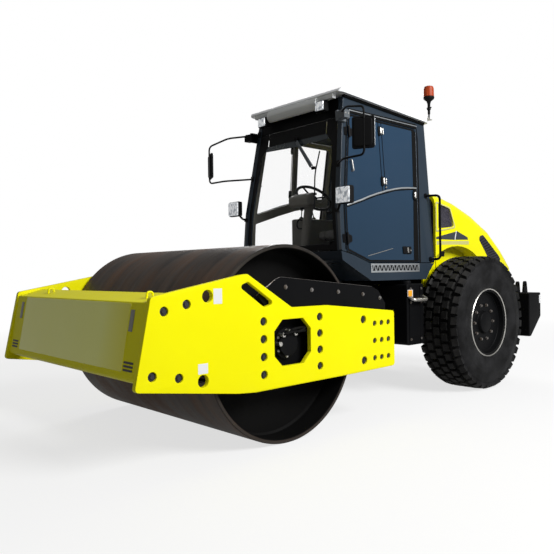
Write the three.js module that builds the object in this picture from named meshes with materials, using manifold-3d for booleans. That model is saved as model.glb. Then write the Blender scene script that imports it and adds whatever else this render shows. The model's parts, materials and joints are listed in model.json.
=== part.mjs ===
// Single-drum articulated soil roller: a drum frame in front, a centre joint, and a rear frame that carries
// the engine, the cab and two driven tyres. Millimetres, +X forward, +Y left, +Z up, ground at Z = 0.
import * as THREE from "three";
import { mergeVertices } from "three/addons/utils/BufferGeometryUtils.js";
import Module from "manifold-3d";

const wasm = await Module();
wasm.setup();

// Driving dimensions. Lengths along X are measured from the drum axle.
const MACHINE_MIDDLE = 1500;          // the drum axle stands this far ahead of the machine's middle
const WIDEST = 1190;                  // half the machine's width, over the mirrors
const GAP = 0.3;                      // between pieces that bear on each other
const CLEAR = 6;                      // between pieces that move past each other

const DRUM_RADIUS = 755;              // also the height of the drum axle
const DRUM_HALF = 1065;
const DRUM_SHELL = 30;
const PLATE_INNER = 1092;             // drum frame side plates, inner and outer faces
const PLATE_OUTER = 1132;

const PIVOT_X = -1500;                // steering pin
const PIVOT_Z = 700;                  // oscillation axis
const ARM_X = 160;                    // steering arm eye, ahead of and beside the pin
const ARM_Y = 200;
const RAM_X = -450;                   // steering cylinder's rear pin, from the steering pin
const RAM_Y = 300;

const AXLE_X = -2980;
const TYRE_RADIUS = 720;
const TYRE_INNER = 650;
const TYRE_OUTER = 1130;
const RIM_RADIUS = 356;

const CAB_HALF = 720;                 // half width of the cab at its sill
const CAB_SILL = 1375;
const CAB_FLOOR = 1369;
const CAB_REAR = -2520;
const CAB_LEAN = Math.atan(0.078);    // the sides lean in towards the roof
const SKIN = 40;                      // door frame thickness
const PILLAR = 60;                    // cab frame thickness, across the cab
const PANE = 8;

const HOOD_HALF = 720;
const HOOD_SKIN = 25;
const HOOD_FRONT = -2535;
const HOOD_BOTTOM = 1105;
const ARCH_RADIUS = 840;
const INNER_PANEL = 560;              // hood side inside the wheel arch

// Geometry helpers ---------------------------------------------------------------------------------------

function solid(geometry) {
  const bare = geometry.clone();
  bare.deleteAttribute("normal");
  bare.deleteAttribute("uv");
  const merged = mergeVertices(bare, 1e-4);
  return new wasm.Manifold(new wasm.Mesh({
    numProp: 3,
    vertProperties: new Float32Array(merged.attributes.position.array),
    triVerts: new Uint32Array(merged.index.array),
  }));
}

function geometryOf(manifold) {
  const result = manifold.getMesh();
  const geometry = new THREE.BufferGeometry();
  geometry.setAttribute("position", new THREE.BufferAttribute(result.vertProperties, 3));
  geometry.setIndex(new THREE.BufferAttribute(result.triVerts, 1));
  geometry.computeVertexNormals();
  return geometry;
}

const join = (...parts) => parts.reduce((whole, part) => whole.add(part));
const cut = (whole, ...tools) => tools.reduce((left, tool) => left.subtract(tool), whole);

// A closed outline through [u, v, radius] points, with an arc at each corner that has a radius.
function outline(corners, PathType = THREE.Shape) {
  const clockwise = THREE.ShapeUtils.area(corners.map(([u, v]) => new THREE.Vector2(u, v))) < 0;
  const points = clockwise ? [...corners].reverse() : corners;
  const path = new PathType();
  points.forEach(([u, v, radius = 0], i) => {
    const corner = new THREE.Vector2(u, v);
    if (radius === 0) {
      if (i === 0) path.moveTo(u, v);
      else path.lineTo(u, v);
      return;
    }
    const towards = (other) => new THREE.Vector2(other[0], other[1]).sub(corner).normalize();
    const before = towards(points.at(i - 1));
    const after = towards(points[(i + 1) % points.length]);
    const reach = radius / Math.tan(Math.acos(before.dot(after)) / 2);
    const start = before.multiplyScalar(reach).add(corner);
    const end = after.multiplyScalar(reach).add(corner);
    if (i === 0) path.moveTo(start.x, start.y);
    else path.lineTo(start.x, start.y);
    path.quadraticCurveTo(u, v, end.x, end.y);
  });
  return path;
}

function extrude(points, depth, holes = [], curveSegments = 4) {
  const shape = outline(points);
  shape.holes = holes.map((hole) => outline(hole, THREE.Path));
  return new THREE.ExtrudeGeometry(shape, { depth, bevelEnabled: false, curveSegments });
}

// Outline in X and Z, thickness from yLow to yHigh.
function acrossY(points, yLow, yHigh, holes) {
  return solid(extrude(points, yHigh - yLow, holes).rotateX(Math.PI / 2).translate(0, yHigh, 0));
}

// Outline in Y and Z, thickness from xLow to xHigh.
function alongX(points, xLow, xHigh) {
  const turn = new THREE.Matrix4().makeBasis(
    new THREE.Vector3(0, 1, 0), new THREE.Vector3(0, 0, 1), new THREE.Vector3(1, 0, 0));
  return solid(extrude(points, xHigh - xLow).applyMatrix4(turn).translate(xLow, 0, 0));
}

// Outline in X and Y, thickness from zLow to zHigh.
function upZ(points, zLow, zHigh, holes) {
  return solid(extrude(points, zHigh - zLow, holes).translate(0, 0, zLow));
}

function box(xLow, xHigh, yLow, yHigh, zLow, zHigh) {
  const size = new THREE.BoxGeometry(xHigh - xLow, yHigh - yLow, zHigh - zLow);
  return solid(size.translate((xLow + xHigh) / 2, (yLow + yHigh) / 2, (zLow + zHigh) / 2));
}

const disc = (x, z, radius, count = 12) => Array.from({ length: count }, (_, i) => {
  const angle = (i / count) * 2 * Math.PI;
  return [x + radius * Math.cos(angle), z + radius * Math.sin(angle)];
});

// A round bar from one point to another.
function bar(from, to, radius, segments = 10) {
  const a = new THREE.Vector3(...from);
  const span = new THREE.Vector3(...to).sub(a);
  const geometry = new THREE.CylinderGeometry(radius, radius, span.length(), segments);
  geometry.translate(0, span.length() / 2, 0);
  const upright = new THREE.Vector3(0, 1, 0);
  geometry.applyQuaternion(new THREE.Quaternion().setFromUnitVectors(upright, span.normalize()));
  return solid(geometry.translate(a.x, a.y, a.z));
}

// A bent round bar through several points, with a ball at each bend.
function bentBar(points, radius, segments = 8) {
  const parts = points.slice(1).map((point, i) => bar(points[i], point, radius, segments));
  for (const [x, y, z] of points.slice(1, -1)) {
    parts.push(solid(new THREE.SphereGeometry(radius, segments, 4).translate(x, y, z)));
  }
  return join(...parts);
}

// Turned about the Y axis through (x, z), from [radius, y] points.
function turned(profile, x, z, segments) {
  const points = [...profile, profile[0]].map(([radius, y]) => new THREE.Vector2(radius, y));
  return solid(new THREE.LatheGeometry(points, segments).translate(x, 0, z));
}

// A closed skin through rings of [x, y, z] points, from the first ring to the last.
function loft(rings) {
  const count = rings[0].length;
  const shape = rings[0].map(([, y, z]) => new THREE.Vector2(y, z));
  const cap = THREE.ShapeUtils.triangulateShape(shape, []);
  const index = cap.flatMap(([a, b, c]) => [c, b, a]);
  const last = (rings.length - 1) * count;
  cap.forEach(([a, b, c]) => index.push(last + a, last + b, last + c));
  for (let ring = 0; ring < rings.length - 1; ring++) {
    for (let i = 0; i < count; i++) {
      const a = ring * count + i;
      const b = ring * count + (i + 1) % count;
      index.push(a, b, b + count, a, b + count, a + count);
    }
  }
  const geometry = new THREE.BufferGeometry();
  geometry.setAttribute("position", new THREE.Float32BufferAttribute(rings.flat(2), 3));
  geometry.setIndex(index);
  return solid(geometry);
}

const paints = {
  yellow: { color: 0xf2e400, roughness: 0.4, metalness: 0 },
  black: { color: 0x15171a, roughness: 0.5, metalness: 0 },
  cabGrey: { color: 0x232b33, roughness: 0.4, metalness: 0 },
  steel: { color: 0x7a6f66, roughness: 0.6, metalness: 0.8 },
  bright: { color: 0xc9ccd0, roughness: 0.3, metalness: 1 },
  chrome: { color: 0xdddddd, roughness: 0.1, metalness: 1 },
  rubber: { color: 0x101010, roughness: 0.9, metalness: 0 },
  plastic: { color: 0x1c1d1f, roughness: 0.6, metalness: 0 },
  seat: { color: 0x2b2d31, roughness: 0.9, metalness: 0 },
  glass: { color: 0x30465c, roughness: 0.1, metalness: 0 },
  white: { color: 0xe9eaec, roughness: 0.4, metalness: 0 },
  orange: { color: 0xe0521a, roughness: 0.3, metalness: 0 },
};

const machine = new THREE.Group();
machine.position.x = MACHINE_MIDDLE;

function place(name, paint, manifold) {
  const mesh = new THREE.Mesh(geometryOf(manifold), new THREE.MeshStandardMaterial(paints[paint]));
  mesh.name = name;
  machine.add(mesh);
}

const SIDES = [["left", 1], ["right", -1]];
// The low and high Y of a slab that lies between two distances from the middle, on one side.
const span = (side, inner, outer) => (side > 0 ? [inner, outer] : [-outer, -inner]);

// Wheel clearances, as cutting tools that lie outside a distance from the middle.
const archCut = (radius, inner) => SIDES.map(([, side]) =>
  acrossY(disc(AXLE_X, TYRE_RADIUS, radius, 48), ...span(side, inner, 900)));

// Drum frame ---------------------------------------------------------------------------------------------

const PLATE_OUTLINE = [
  [1224, 1154, 30], [1345, 575, 25], [540, 457, 60], [376, 443], [-700, 448], [-1245, 457, 30],
  [-1241, 942, 25], [-382, 1030], [11, 1032, 60], [442, 1289, 30], [507, 1282, 20],
];
const WINDOW = [
  [-184, 680], [-184, 864], [-103, 945], [112, 945], [193, 864], [193, 680], [112, 599], [-103, 599],
];
const SLOT = [[522, 1204, 20], [288, 1046, 8], [183, 1071, 20], [436, 1233, 20]];

for (const [name, side] of SIDES) {
  const holes = [WINDOW, SLOT, disc(790, 1144, 43), disc(834, 582, 43)];
  const faces = span(side, PLATE_INNER, PLATE_OUTER);
  place(`side_plate_${name}`, "yellow", acrossY(PLATE_OUTLINE, ...faces, holes));

  const cover = [
    [134, 1245], [82, 1261], [-996, 1160], [-1074, 1124], [-1168, 1011], [-1168, 905], [-420, 975],
    [-345, 1000], [200, 1000], [320, 1130],
  ];
  const [low, high] = span(side, PLATE_INNER - GAP - 10, PLATE_INNER - GAP);
  place(`drum_cover_${name}`, "black", acrossY(cover, low, high));
}

const BETWEEN_PLATES = PLATE_INNER - GAP;
place("front_beam", "yellow", acrossY([
  [1010, 1174], [1226, 1120, 12], [1316, 632, 25], [1285, 612, 15], [1195, 612], [1120, 720],
  [1100, 1098], [1010, 1158],
], -BETWEEN_PLATES, BETWEEN_PLATES));
// A channel that opens forward, with the oscillation bearing on its back.
place("rear_beam", "black", join(
  cut(
    box(-1243, -1060, -BETWEEN_PLATES, BETWEEN_PLATES, 490, 900),
    box(-1217, -1000, -PLATE_INNER - 50, PLATE_INNER + 50, 516, 874)),
  alongX(disc(0, PIVOT_Z, 150, 20), -1300, -1243)));

// Scraper bars run from plate to plate, with a blade that reaches to the drum.
for (const [name, way] of [["front", 1], ["rear", -1]]) {
  const blade = DRUM_RADIUS - 8;
  const profile = [[blade * way, 566], [900 * way, 566], [900 * way, 550], [960 * way, 550],
    [960 * way, 610], [900 * way, 610], [900 * way, 578], [(blade + 4) * way, 578]];
  place(`scraper_${name}`, "black", acrossY(profile, -BETWEEN_PLATES, BETWEEN_PLATES));
}

// Each end of the drum hangs in a carrier plate on eight rubber buffers.
const CARRIER_INNER = 1000;
const CARRIER_OUTER = 1025;
for (const [name, side] of SIDES) {
  const plate = acrossY([
    [-360, 480, 60], [360, 480, 60], [360, 1030, 60], [-360, 1030, 60],
  ], ...span(side, CARRIER_INNER, CARRIER_OUTER));
  const hub = acrossY(disc(0, DRUM_RADIUS, 165, 16), ...span(side, 858, CARRIER_INNER));
  const motor = acrossY(disc(0, DRUM_RADIUS, 95, 12), ...span(side, CARRIER_OUTER, 1080));
  const buffers = [-289, 296].flatMap((x) => [558, 686, 815, 943].map((z) =>
    acrossY(disc(x, z, 46, 8), ...span(side, CARRIER_OUTER, PLATE_INNER - GAP))));
  place(`drum_carrier_${name}`, "black", join(plate, hub, motor, ...buffers));
}

// Drum ---------------------------------------------------------------------------------------------------

const BULKHEAD = 850;
const DRUM_BORE = DRUM_RADIUS - DRUM_SHELL;
place("drum_shell", "steel", turned([
  [DRUM_RADIUS, -DRUM_HALF], [DRUM_RADIUS, DRUM_HALF], [DRUM_BORE, DRUM_HALF], [DRUM_BORE, BULKHEAD],
  [130, BULKHEAD], [130, BULKHEAD - 20], [DRUM_BORE, BULKHEAD - 20], [DRUM_BORE, 20 - BULKHEAD],
  [130, 20 - BULKHEAD], [130, -BULKHEAD], [DRUM_BORE, -BULKHEAD], [DRUM_BORE, -DRUM_HALF],
], 0, DRUM_RADIUS, 56));

// Centre joint -------------------------------------------------------------------------------------------

const KNUCKLE_RADIUS = 100;
const steeringArms = SIDES.flatMap(([, side]) => [[640, 658], [742, 760]].map(([zLow, zHigh]) => upZ([
  [PIVOT_X + 40, side * 60], [PIVOT_X + ARM_X, side * 60], [PIVOT_X + ARM_X + 40, side * (ARM_Y + 20), 15],
  [PIVOT_X + ARM_X - 30, side * (ARM_Y + 35), 15],
], zLow, zHigh)));
place("centre_joint", "black", join(
  upZ(disc(PIVOT_X, 0, KNUCKLE_RADIUS, 20), 560, 840),
  alongX(disc(0, PIVOT_Z, 110, 20), PIVOT_X, -1300 - CLEAR),
  upZ(disc(PIVOT_X, 0, 45, 16), 470, 930),
  ...steeringArms));

// Rear frame ---------------------------------------------------------------------------------------------

const BULKHEAD_X = -1866;             // front face of the rear frame's cross wall
const CHASSIS_TOP = 1150;
const RAIL_INNER = 390;
const ENGINE_BOTTOM = 930;
const lug = [[PIVOT_X + 110, -100, 60], [PIVOT_X + 110, 100, 60], [-1790, 160], [BULKHEAD_X + GAP, 160],
  [BULKHEAD_X + GAP, -160], [-1790, -160]];
const pinHole = disc(PIVOT_X, 0, 52, 16);
place("rear_yoke", "black", join(
  upZ(lug, 494, 554, [pinHole]),
  upZ(lug, 846, 906, [pinHole]),
  box(BULKHEAD_X + GAP, -1740, -150, 150, 540, 860)));

const RAIL = [
  [-1866, 500], [-2790, 500], [-2850, 840], [-3110, 840], [-3170, 600], [-4003, 600], [-4003, 1090],
  [-1866, 1120],
];
const ramWindows = SIDES.map(([, side]) => box(-1900, -1860, ...span(side, 215, 365), 656, 744));
const ramBrackets = SIDES.flatMap(([, side]) => [640, 744].map((z) =>
  box(PIVOT_X + RAM_X - 45, BULKHEAD_X - 10, ...span(side, 250, 395), z, z + 16)));
place("rear_chassis", "black", join(
  acrossY(RAIL, RAIL_INNER, 420), acrossY(RAIL, -420, -RAIL_INNER),
  cut(box(BULKHEAD_X - 30, BULKHEAD_X, -450, 450, 500, CHASSIS_TOP), ...ramWindows),
  ...ramBrackets,
  box(-2780, -1880, -400, 400, 500, 520),
  ...[-3700, -3250].map((x) => box(x, x + 70, -400, 400, 870, ENGINE_BOTTOM - GAP)),
  box(-4003, -3975, -450, 450, 600, 1095)));

place("rear_axle", "black", turned([
  [0, -894], [150, -894], [150, -700], [175, -690], [175, -560], [95, -520], [95, -200], [190, -120],
  [190, 120], [95, 200], [95, 520], [175, 560], [175, 690], [150, 700], [150, 894], [0, 894],
], AXLE_X, TYRE_RADIUS, 20));
place("engine_block", "black", box(-3800, -2860, -300, 300, ENGINE_BOTTOM, 1560));

const TANK_OUTER = 800;
for (const [name, side] of SIDES) {
  place(`tank_${name}`, "black", acrossY([
    [-1900, 540, 40], [-2190, 540, 40], [-2190, 1160, 30], [-1900, 1160, 30],
  ], ...span(side, 455, TANK_OUTER)));
  const wall = side * (TANK_OUTER + GAP);
  const tread = side * (TANK_OUTER + 68);
  place(`step_${name}`, "bright", bentBar([
    [-1935, wall, 1000], [-1935, tread, 1000], [-2165, tread, 1000], [-2165, wall, 1000],
  ], 16));
}

place("counterweight", "black", acrossY([
  [-4012, 1000], [-4012, 480], [-4060, 480, 20], [-4320, 710, 20], [-4320, 1000, 15],
], -1050, 1050));

// Cab ----------------------------------------------------------------------------------------------------

const halfWidth = (z) => CAB_HALF - Math.tan(CAB_LEAN) * (z - CAB_SILL);

// Outline in X and height above the sill, laid in the leaning plane of one side of the cab.
function onCabSide(side, points, outer, thickness, holes = []) {
  const raise = (ring) => ring.map(([x, z, radius]) => [x, z - CAB_SILL, radius]);
  const geometry = extrude(raise(points), thickness, holes.map(raise)).rotateX(Math.PI / 2);
  geometry.translate(0, side > 0 ? outer : thickness - outer, 0);
  return solid(geometry.rotateX(side * CAB_LEAN).translate(0, side * CAB_HALF, CAB_SILL));
}

// Outline in X and Z, drawn across the cab and trimmed to the leaning sides.
function acrossCab(points, inset, holes) {
  const top = 3100;
  const trim = alongX([
    [inset - halfWidth(1100), 1100], [halfWidth(1100) - inset, 1100], [halfWidth(top) - inset, top],
    [inset - halfWidth(top), top],
  ], -2700, -900);
  return acrossY(points, -900, 900, holes).intersect(trim);
}

const A_PILLAR = [[-1035, 1489], [-1046, 1920], [-1198, 2900]];
// Front face of the A pillar at one height.
function pillarFront(z) {
  const [low, high] = z < A_PILLAR[1][1] ? A_PILLAR : A_PILLAR.slice(1);
  return low[0] + (high[0] - low[0]) * (z - low[1]) / (high[1] - low[1]);
}
const TUB_BOTTOM = 1200;
place("cab_tub", "cabGrey", cut(
  acrossCab([
    [-1034, 1400, 30], [-1028, 1485], [-1190, 1449], [-1425, CAB_FLOOR], [CAB_REAR, CAB_FLOOR],
    [CAB_REAR, TUB_BOTTOM], [-1430, TUB_BOTTOM, 40],
  ], 0),
  box(-1500, -1085, -640, 640, CAB_FLOOR, 1600),
  ...archCut(ARCH_RADIUS - 40, 600)));
// The rubber-mounted bed that the tub stands on, over the frame's cross wall.
place("cab_platform", "black", join(
  box(-2440, -1500, -380, 380, CHASSIS_TOP + GAP, TUB_BOTTOM - 20),
  ...[-2380, -1560].flatMap((x) => SIDES.map(([, side]) =>
    upZ(disc(x, side * 300, 55, 16), TUB_BOTTOM - 20, TUB_BOTTOM - GAP)))));

const DOOR_TOP = 2800;
const DOOR_BOTTOM = CAB_SILL + 3;
const DOOR_EDGE = [
  [-1107, 1491, 10], [-1190, 1460, 20], [-1427, DOOR_BOTTOM, 20], [-2225, DOOR_BOTTOM, 30],
  [-2345, DOOR_TOP, 40], [-1262, DOOR_TOP, 30], [-1122, 1920, 60],
];
for (const [name, side] of SIDES) {
  place(`cab_side_frame_${name}`, "cabGrey", onCabSide(side, [
    ...A_PILLAR, [-1207, 2962], [CAB_REAR, 2878], [CAB_REAR, CAB_SILL - 1], [-2231, CAB_SILL - 1],
    [-2352, DOOR_TOP + CLEAR, 40], [-1256, DOOR_TOP + CLEAR, 30], [-1116, 1920, 60], [-1101, 1475],
  ], 0, PILLAR));
}

const INSIDE = PILLAR + 1;
place("windscreen", "glass", acrossCab([
  [-1045, 1490], [-1056, 1920], [-1182, 2760], [-1182 - PANE, 2760], [-1056 - PANE, 1922],
  [-1045 - PANE, 1490],
], INSIDE));
place("cab_front_header", "cabGrey", acrossCab([
  [-1184, 2761], [-1206, 2950], [-1270, 2946], [-1250, 2761],
], INSIDE));
place("cab_rear_wall", "cabGrey", acrossCab([
  [CAB_REAR + 40, CAB_FLOOR + GAP], [CAB_REAR + 40, 1960], [CAB_REAR, 1960], [CAB_REAR, CAB_FLOOR + GAP],
], INSIDE));
place("rear_window", "glass", acrossCab([
  [CAB_REAR + 20, 1961], [CAB_REAR + 20, 2740], [CAB_REAR + 12, 2740], [CAB_REAR + 12, 1961],
], INSIDE));
place("cab_rear_header", "cabGrey", acrossCab([
  [CAB_REAR + 50, 2741], [CAB_REAR + 50, 2868], [CAB_REAR, 2865], [CAB_REAR, 2741],
], INSIDE));

const ROOF_HALF = 655;
const roofPlan = upZ([
  [-1095, -ROOF_HALF, 70], [-1095, ROOF_HALF, 70], [-2565, ROOF_HALF, 90], [-2565, -ROOF_HALF, 90],
], 2700, 3200);
place("cab_roof", "white", acrossY([
  [-1095, 2973, 10], [-1125, 3010, 15], [-1700, 3020], [-2520, 2945, 20], [-2565, 2884, 10],
], -900, 900).intersect(roofPlan));
place("roof_visor", "white", join(
  acrossY([[-1100, 2970], [-1082, 2900], [-1110, 2862], [-1135, 2862], [-1150, 2966]], -560, 560),
  ...SIDES.map(([, side]) => box(-1140, -1060, ...span(side, 355, 480), 2818, 2925))));

// The mirror heads are turned towards the seat, and their outer edges are the machine's widest points.
const MIRROR_HALF = 100;
const MIRROR_THICK = 40;
const MIRROR_TURN = 28;
const mirrorAngle = MIRROR_TURN * Math.PI / 180;
const mirrorMiddle = WIDEST - MIRROR_HALF * Math.cos(mirrorAngle) - MIRROR_THICK / 2 * Math.sin(mirrorAngle);
for (const [name, side] of SIDES) {
  place(`headlamp_${name}`, "plastic", join(
    box(-1030, -955, ...span(side, 695, 880), 1900, 2070),
    bar([-1012, side * 720, 1910], [-1030, side * 655, 1862], 12, 8),
    box(pillarFront(1840) + 1.5, -1020, ...span(side, 635, 672), 1840, 1880),
  ));
  const pillarAt = (z) => side * (halfWidth(z) - 30);
  place(`mirror_${name}`, "plastic", join(
    bentBar([
      [pillarFront(2300) + 13, pillarAt(2300), 2300], [-905, side * 850, 2290], [-890, side * 1105, 2290],
      [-890, side * 1105, 2700], [-960, side * 850, 2760],
      [pillarFront(2780) + 13, pillarAt(2780), 2780],
    ], 11, 6),
    box(-MIRROR_THICK / 2, MIRROR_THICK / 2, -MIRROR_HALF, MIRROR_HALF, 2340, 2620)
      .rotate([0, 0, side * MIRROR_TURN]).translate([-895, side * mirrorMiddle, 0])));
  place(`handrail_${name}`, "black", bentBar([
    [-2440, side * (halfWidth(2090) + 14), 2090], [-2505, side * 800, 2090], [-2505, side * 800, 1410],
    [-2440, side * (halfWidth(1410) + 14), 1410],
  ], 13, 6));
}

place("beacon", "orange", join(
  box(-2690, -2568, 540, 600, 2900, 2960),
  bar([-2670, 570, 2950], [-2670, 570, 3150], 16),
  bar([-2670, 570, 3150], [-2670, 570, 3330], 62, 16)));

// Inside the cab -----------------------------------------------------------------------------------------

place("seat_base", "plastic", join(
  box(-2120, -1760, -200, 200, CAB_FLOOR + GAP, 1400),
  box(-2060, -1820, -150, 150, 1395, 1640)));
place("seat_cushion", "seat", acrossY([
  [-1690, 1641, 30], [-1700, 1750, 40], [-2190, 1730, 20], [-2190, 1641],
], -250, 250));
place("seat_backrest", "seat", acrossY([
  [-2145, 1760, 40], [-2255, 2380, 50], [-2350, 2360, 40], [-2250, 1740, 20],
], -240, 240));
place("side_console", "plastic", box(-2150, -1560, -500, -300, CAB_FLOOR + GAP, 1880));
place("steering_column", "plastic", join(
  box(-1330, -1180, -120, 120, CAB_FLOOR + GAP, 1420),
  bar([-1250, 0, 1400], [-1340, 0, 1990], 60, 12),
  acrossY([[-1180, 1950], [-1160, 2060], [-1290, 2110], [-1330, 1960]], -140, 140)));
const wheelRim = new THREE.TorusGeometry(190, 15, 6, 20);
const wheelTilt = -0.6;
const steeringWheel = join(
  solid(wheelRim),
  solid(new THREE.CylinderGeometry(40, 40, 40, 12).rotateX(Math.PI / 2)),
  box(-190, 190, -14, 14, -8, 8), box(-14, 14, -190, 0, -8, 8));
place("steering_wheel", "plastic", solid(geometryOf(steeringWheel)
  .rotateZ(Math.PI / 2).rotateY(wheelTilt).translate(-1404, 0, 2056)));

// Doors --------------------------------------------------------------------------------------------------

const lowerPane = [
  [-1165, 1520, 20], [-1440, 1425, 20], [-2180, 1425, 40], [-2235, 2065, 20], [-2000, 2048], [-1750, 2000],
  [-1500, 1930], [-1165, 1825, 20],
];
const frontPane = [
  [-1175, 1925, 20], [-1375, 1985], [-1595, 2055], [-1705, 2085, 10], [-1705, 2750, 30], [-1300, 2750, 40],
];
const rearPane = [
  [-1765, 2100, 10], [-1911, 2132], [-2100, 2152], [-2245, 2160, 20], [-2296, 2750, 40], [-1765, 2750, 30],
];
for (const [name, side] of SIDES) {
  place(`door_${name}`, "cabGrey", onCabSide(side, DOOR_EDGE, -PANE - GAP, SKIN - PANE,
    [lowerPane, frontPane, rearPane]));
  place(`door_glass_${name}`, "glass", onCabSide(side, DOOR_EDGE, 0, PANE));
}

// Hood ---------------------------------------------------------------------------------------------------

const HOOD_STATIONS = [
  [HOOD_FRONT, 2135, HOOD_HALF], [-2740, 2105, HOOD_HALF], [-3000, 2050, HOOD_HALF],
  [-3320, 1945, HOOD_HALF], [-3710, 1775, 715], [-4000, 1585, 705], [-4260, 1395, 680], [-4345, 1260, 640],
];
// A ring around the hood at one station: straight sides and two rounded shoulders.
function hoodRing(x, top, half, bottom, shoulder) {
  const ring = [[x, half, bottom]];
  for (const side of [1, -1]) {
    for (let i = 0; i <= 4; i++) {
      const angle = (side > 0 ? i : 4 - i) * Math.PI / 8;
      ring.push([x, side * (half - shoulder + shoulder * Math.cos(angle)),
        top - shoulder + shoulder * Math.sin(angle)]);
    }
  }
  ring.push([x, -half, bottom]);
  return ring;
}
const SHOULDER = 130;
const HOOD_REAR = HOOD_STATIONS.at(-1)[0];
const hoodOuter = loft(HOOD_STATIONS.map(([x, top, half]) =>
  hoodRing(x, top, half, HOOD_BOTTOM, SHOULDER)).reverse());
// The hollow is open below and in front, so its first ring lies past the hood's front edge.
const hoodInner = loft(HOOD_STATIONS.map(([x, top, half], i) => {
  const place = i === 0 ? x + 50 : Math.max(x, HOOD_REAR + HOOD_SKIN);
  return hoodRing(place, top - HOOD_SKIN * 1.25, half - HOOD_SKIN, HOOD_BOTTOM - 60, SHOULDER - 15);
}).reverse());
const grille = [[-2600, 1745, 20], [-2600, 2010, 20], [-2840, 1985, 50], [-2900, 1775, 20]];
place("hood", "yellow", cut(
  cut(hoodOuter, ...archCut(ARCH_RADIUS, INNER_PANEL)),
  cut(hoodInner, ...archCut(ARCH_RADIUS + HOOD_SKIN, INNER_PANEL - HOOD_SKIN)),
  acrossY(grille, -900, 900)));

// Wheels -------------------------------------------------------------------------------------------------

for (const [name, side] of SIDES) {
  const mirrored = (profile) => (side > 0 ? profile : profile.map(([r, y]) => [r, -y]).reverse());
  const bead = RIM_RADIUS + GAP + 0.2;
  place(`tyre_${name}`, "rubber", turned(mirrored([
    [bead, 700], [bead, 1082], [400, 1108], [540, TYRE_OUTER], [640, 1122], [690, 1096],
    [TYRE_RADIUS, 1050], [TYRE_RADIUS, 730], [690, 684], [640, 658], [540, TYRE_INNER], [400, 672],
  ].reverse()), AXLE_X, TYRE_RADIUS, 36));
  place(`rim_${name}`, "black", turned(mirrored([
    [0, 900], [100, 900], [110, 985], [322, 1000], [330, 696], [RIM_RADIUS, 696],
    [RIM_RADIUS, 1084], [332, 1084], [322, 1030], [110, 1018], [90, 1065], [0, 1065],
  ]), AXLE_X, TYRE_RADIUS, 36));
}

// Steering cylinders -------------------------------------------------------------------------------------

for (const [name, side] of SIDES) {
  const rear = [PIVOT_X + RAM_X, side * RAM_Y, PIVOT_Z];
  const eye = [PIVOT_X + ARM_X, side * ARM_Y, PIVOT_Z];
  const along = (distance) => {
    const length = Math.hypot(eye[0] - rear[0], eye[1] - rear[1]);
    return rear.map((value, i) => value + (eye[i] - value) * distance / length);
  };
  place(`steering_barrel_${name}`, "black", cut(
    join(bar(along(20), along(400), 36, 16), upZ(disc(rear[0], rear[1], 42, 16), 665, 735)),
    upZ(disc(rear[0], rear[1], 16, 12), 600, 800),
    bar(along(60), along(420), 23, 16)));
  const length = Math.hypot(ARM_X - RAM_X, ARM_Y - RAM_Y);
  place(`steering_rod_${name}`, "chrome", join(
    bar(along(length - 410), along(length - 20), 20, 16),
    upZ(disc(eye[0], eye[1], 38, 16), 670, 730)));
}

export default machine;
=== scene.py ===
import json
import math

import bmesh
import bpy
from mathutils import Matrix, Vector, geometry

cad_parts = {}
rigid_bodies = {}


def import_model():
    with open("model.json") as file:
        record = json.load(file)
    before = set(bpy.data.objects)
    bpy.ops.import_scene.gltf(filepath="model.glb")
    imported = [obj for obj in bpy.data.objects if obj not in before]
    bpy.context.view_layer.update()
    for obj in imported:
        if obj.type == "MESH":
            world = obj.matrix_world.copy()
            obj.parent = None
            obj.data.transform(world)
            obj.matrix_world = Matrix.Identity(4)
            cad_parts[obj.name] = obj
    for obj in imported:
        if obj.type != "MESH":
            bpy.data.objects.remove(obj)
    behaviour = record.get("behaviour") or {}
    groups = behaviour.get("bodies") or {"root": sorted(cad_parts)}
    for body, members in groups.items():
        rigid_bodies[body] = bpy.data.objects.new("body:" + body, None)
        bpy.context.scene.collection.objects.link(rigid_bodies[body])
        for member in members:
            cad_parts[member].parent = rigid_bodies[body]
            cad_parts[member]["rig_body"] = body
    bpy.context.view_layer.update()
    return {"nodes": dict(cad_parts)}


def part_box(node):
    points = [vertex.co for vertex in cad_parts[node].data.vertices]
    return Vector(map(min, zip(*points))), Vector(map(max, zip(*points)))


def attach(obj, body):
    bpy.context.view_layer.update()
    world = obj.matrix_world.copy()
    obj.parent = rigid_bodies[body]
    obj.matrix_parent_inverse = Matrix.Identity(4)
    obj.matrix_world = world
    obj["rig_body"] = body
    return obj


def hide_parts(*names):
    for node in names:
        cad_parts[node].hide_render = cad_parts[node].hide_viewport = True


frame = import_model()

# Stage. A pale floor, a camera that stands ahead of the machine on its left, and studio light: one large
# soft lamp high on the left, a weaker one behind on the right, and an even glow all round.
drum_low, drum_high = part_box("drum_shell")
DRUM_AXLE = (drum_low.x + drum_high.x) / 2
DRUM_RADIUS = (drum_high.z - drum_low.z) / 2
DRUM_HALF = drum_high.y

scene = bpy.context.scene
scene.view_settings.view_transform = "Standard"
CAMERA_AHEAD, CAMERA_LEFT, CAMERA_HEIGHT = 3.2279, 4.4808, 1.3037
heading, pitch, roll = (math.radians(angle) for angle in (-132.48, -0.52, -0.81))
forward = Vector((math.cos(pitch) * math.cos(heading), math.cos(pitch) * math.sin(heading), math.sin(pitch)))
level = forward.cross(Vector((0, 0, 1))).normalized()
upright = level.cross(forward)
across = level * math.cos(roll) + upright * math.sin(roll)
upward = upright * math.cos(roll) - level * math.sin(roll)
camera = bpy.data.objects.new("camera", bpy.data.cameras.new("camera"))
camera.matrix_world = Matrix((across, upward, -forward)).transposed().to_4x4()
camera.location = (DRUM_AXLE + CAMERA_AHEAD, CAMERA_LEFT, CAMERA_HEIGHT)
camera.data.lens = 40.19
camera.data.sensor_width = 36
scene.collection.objects.link(camera)
scene.camera = camera


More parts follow.
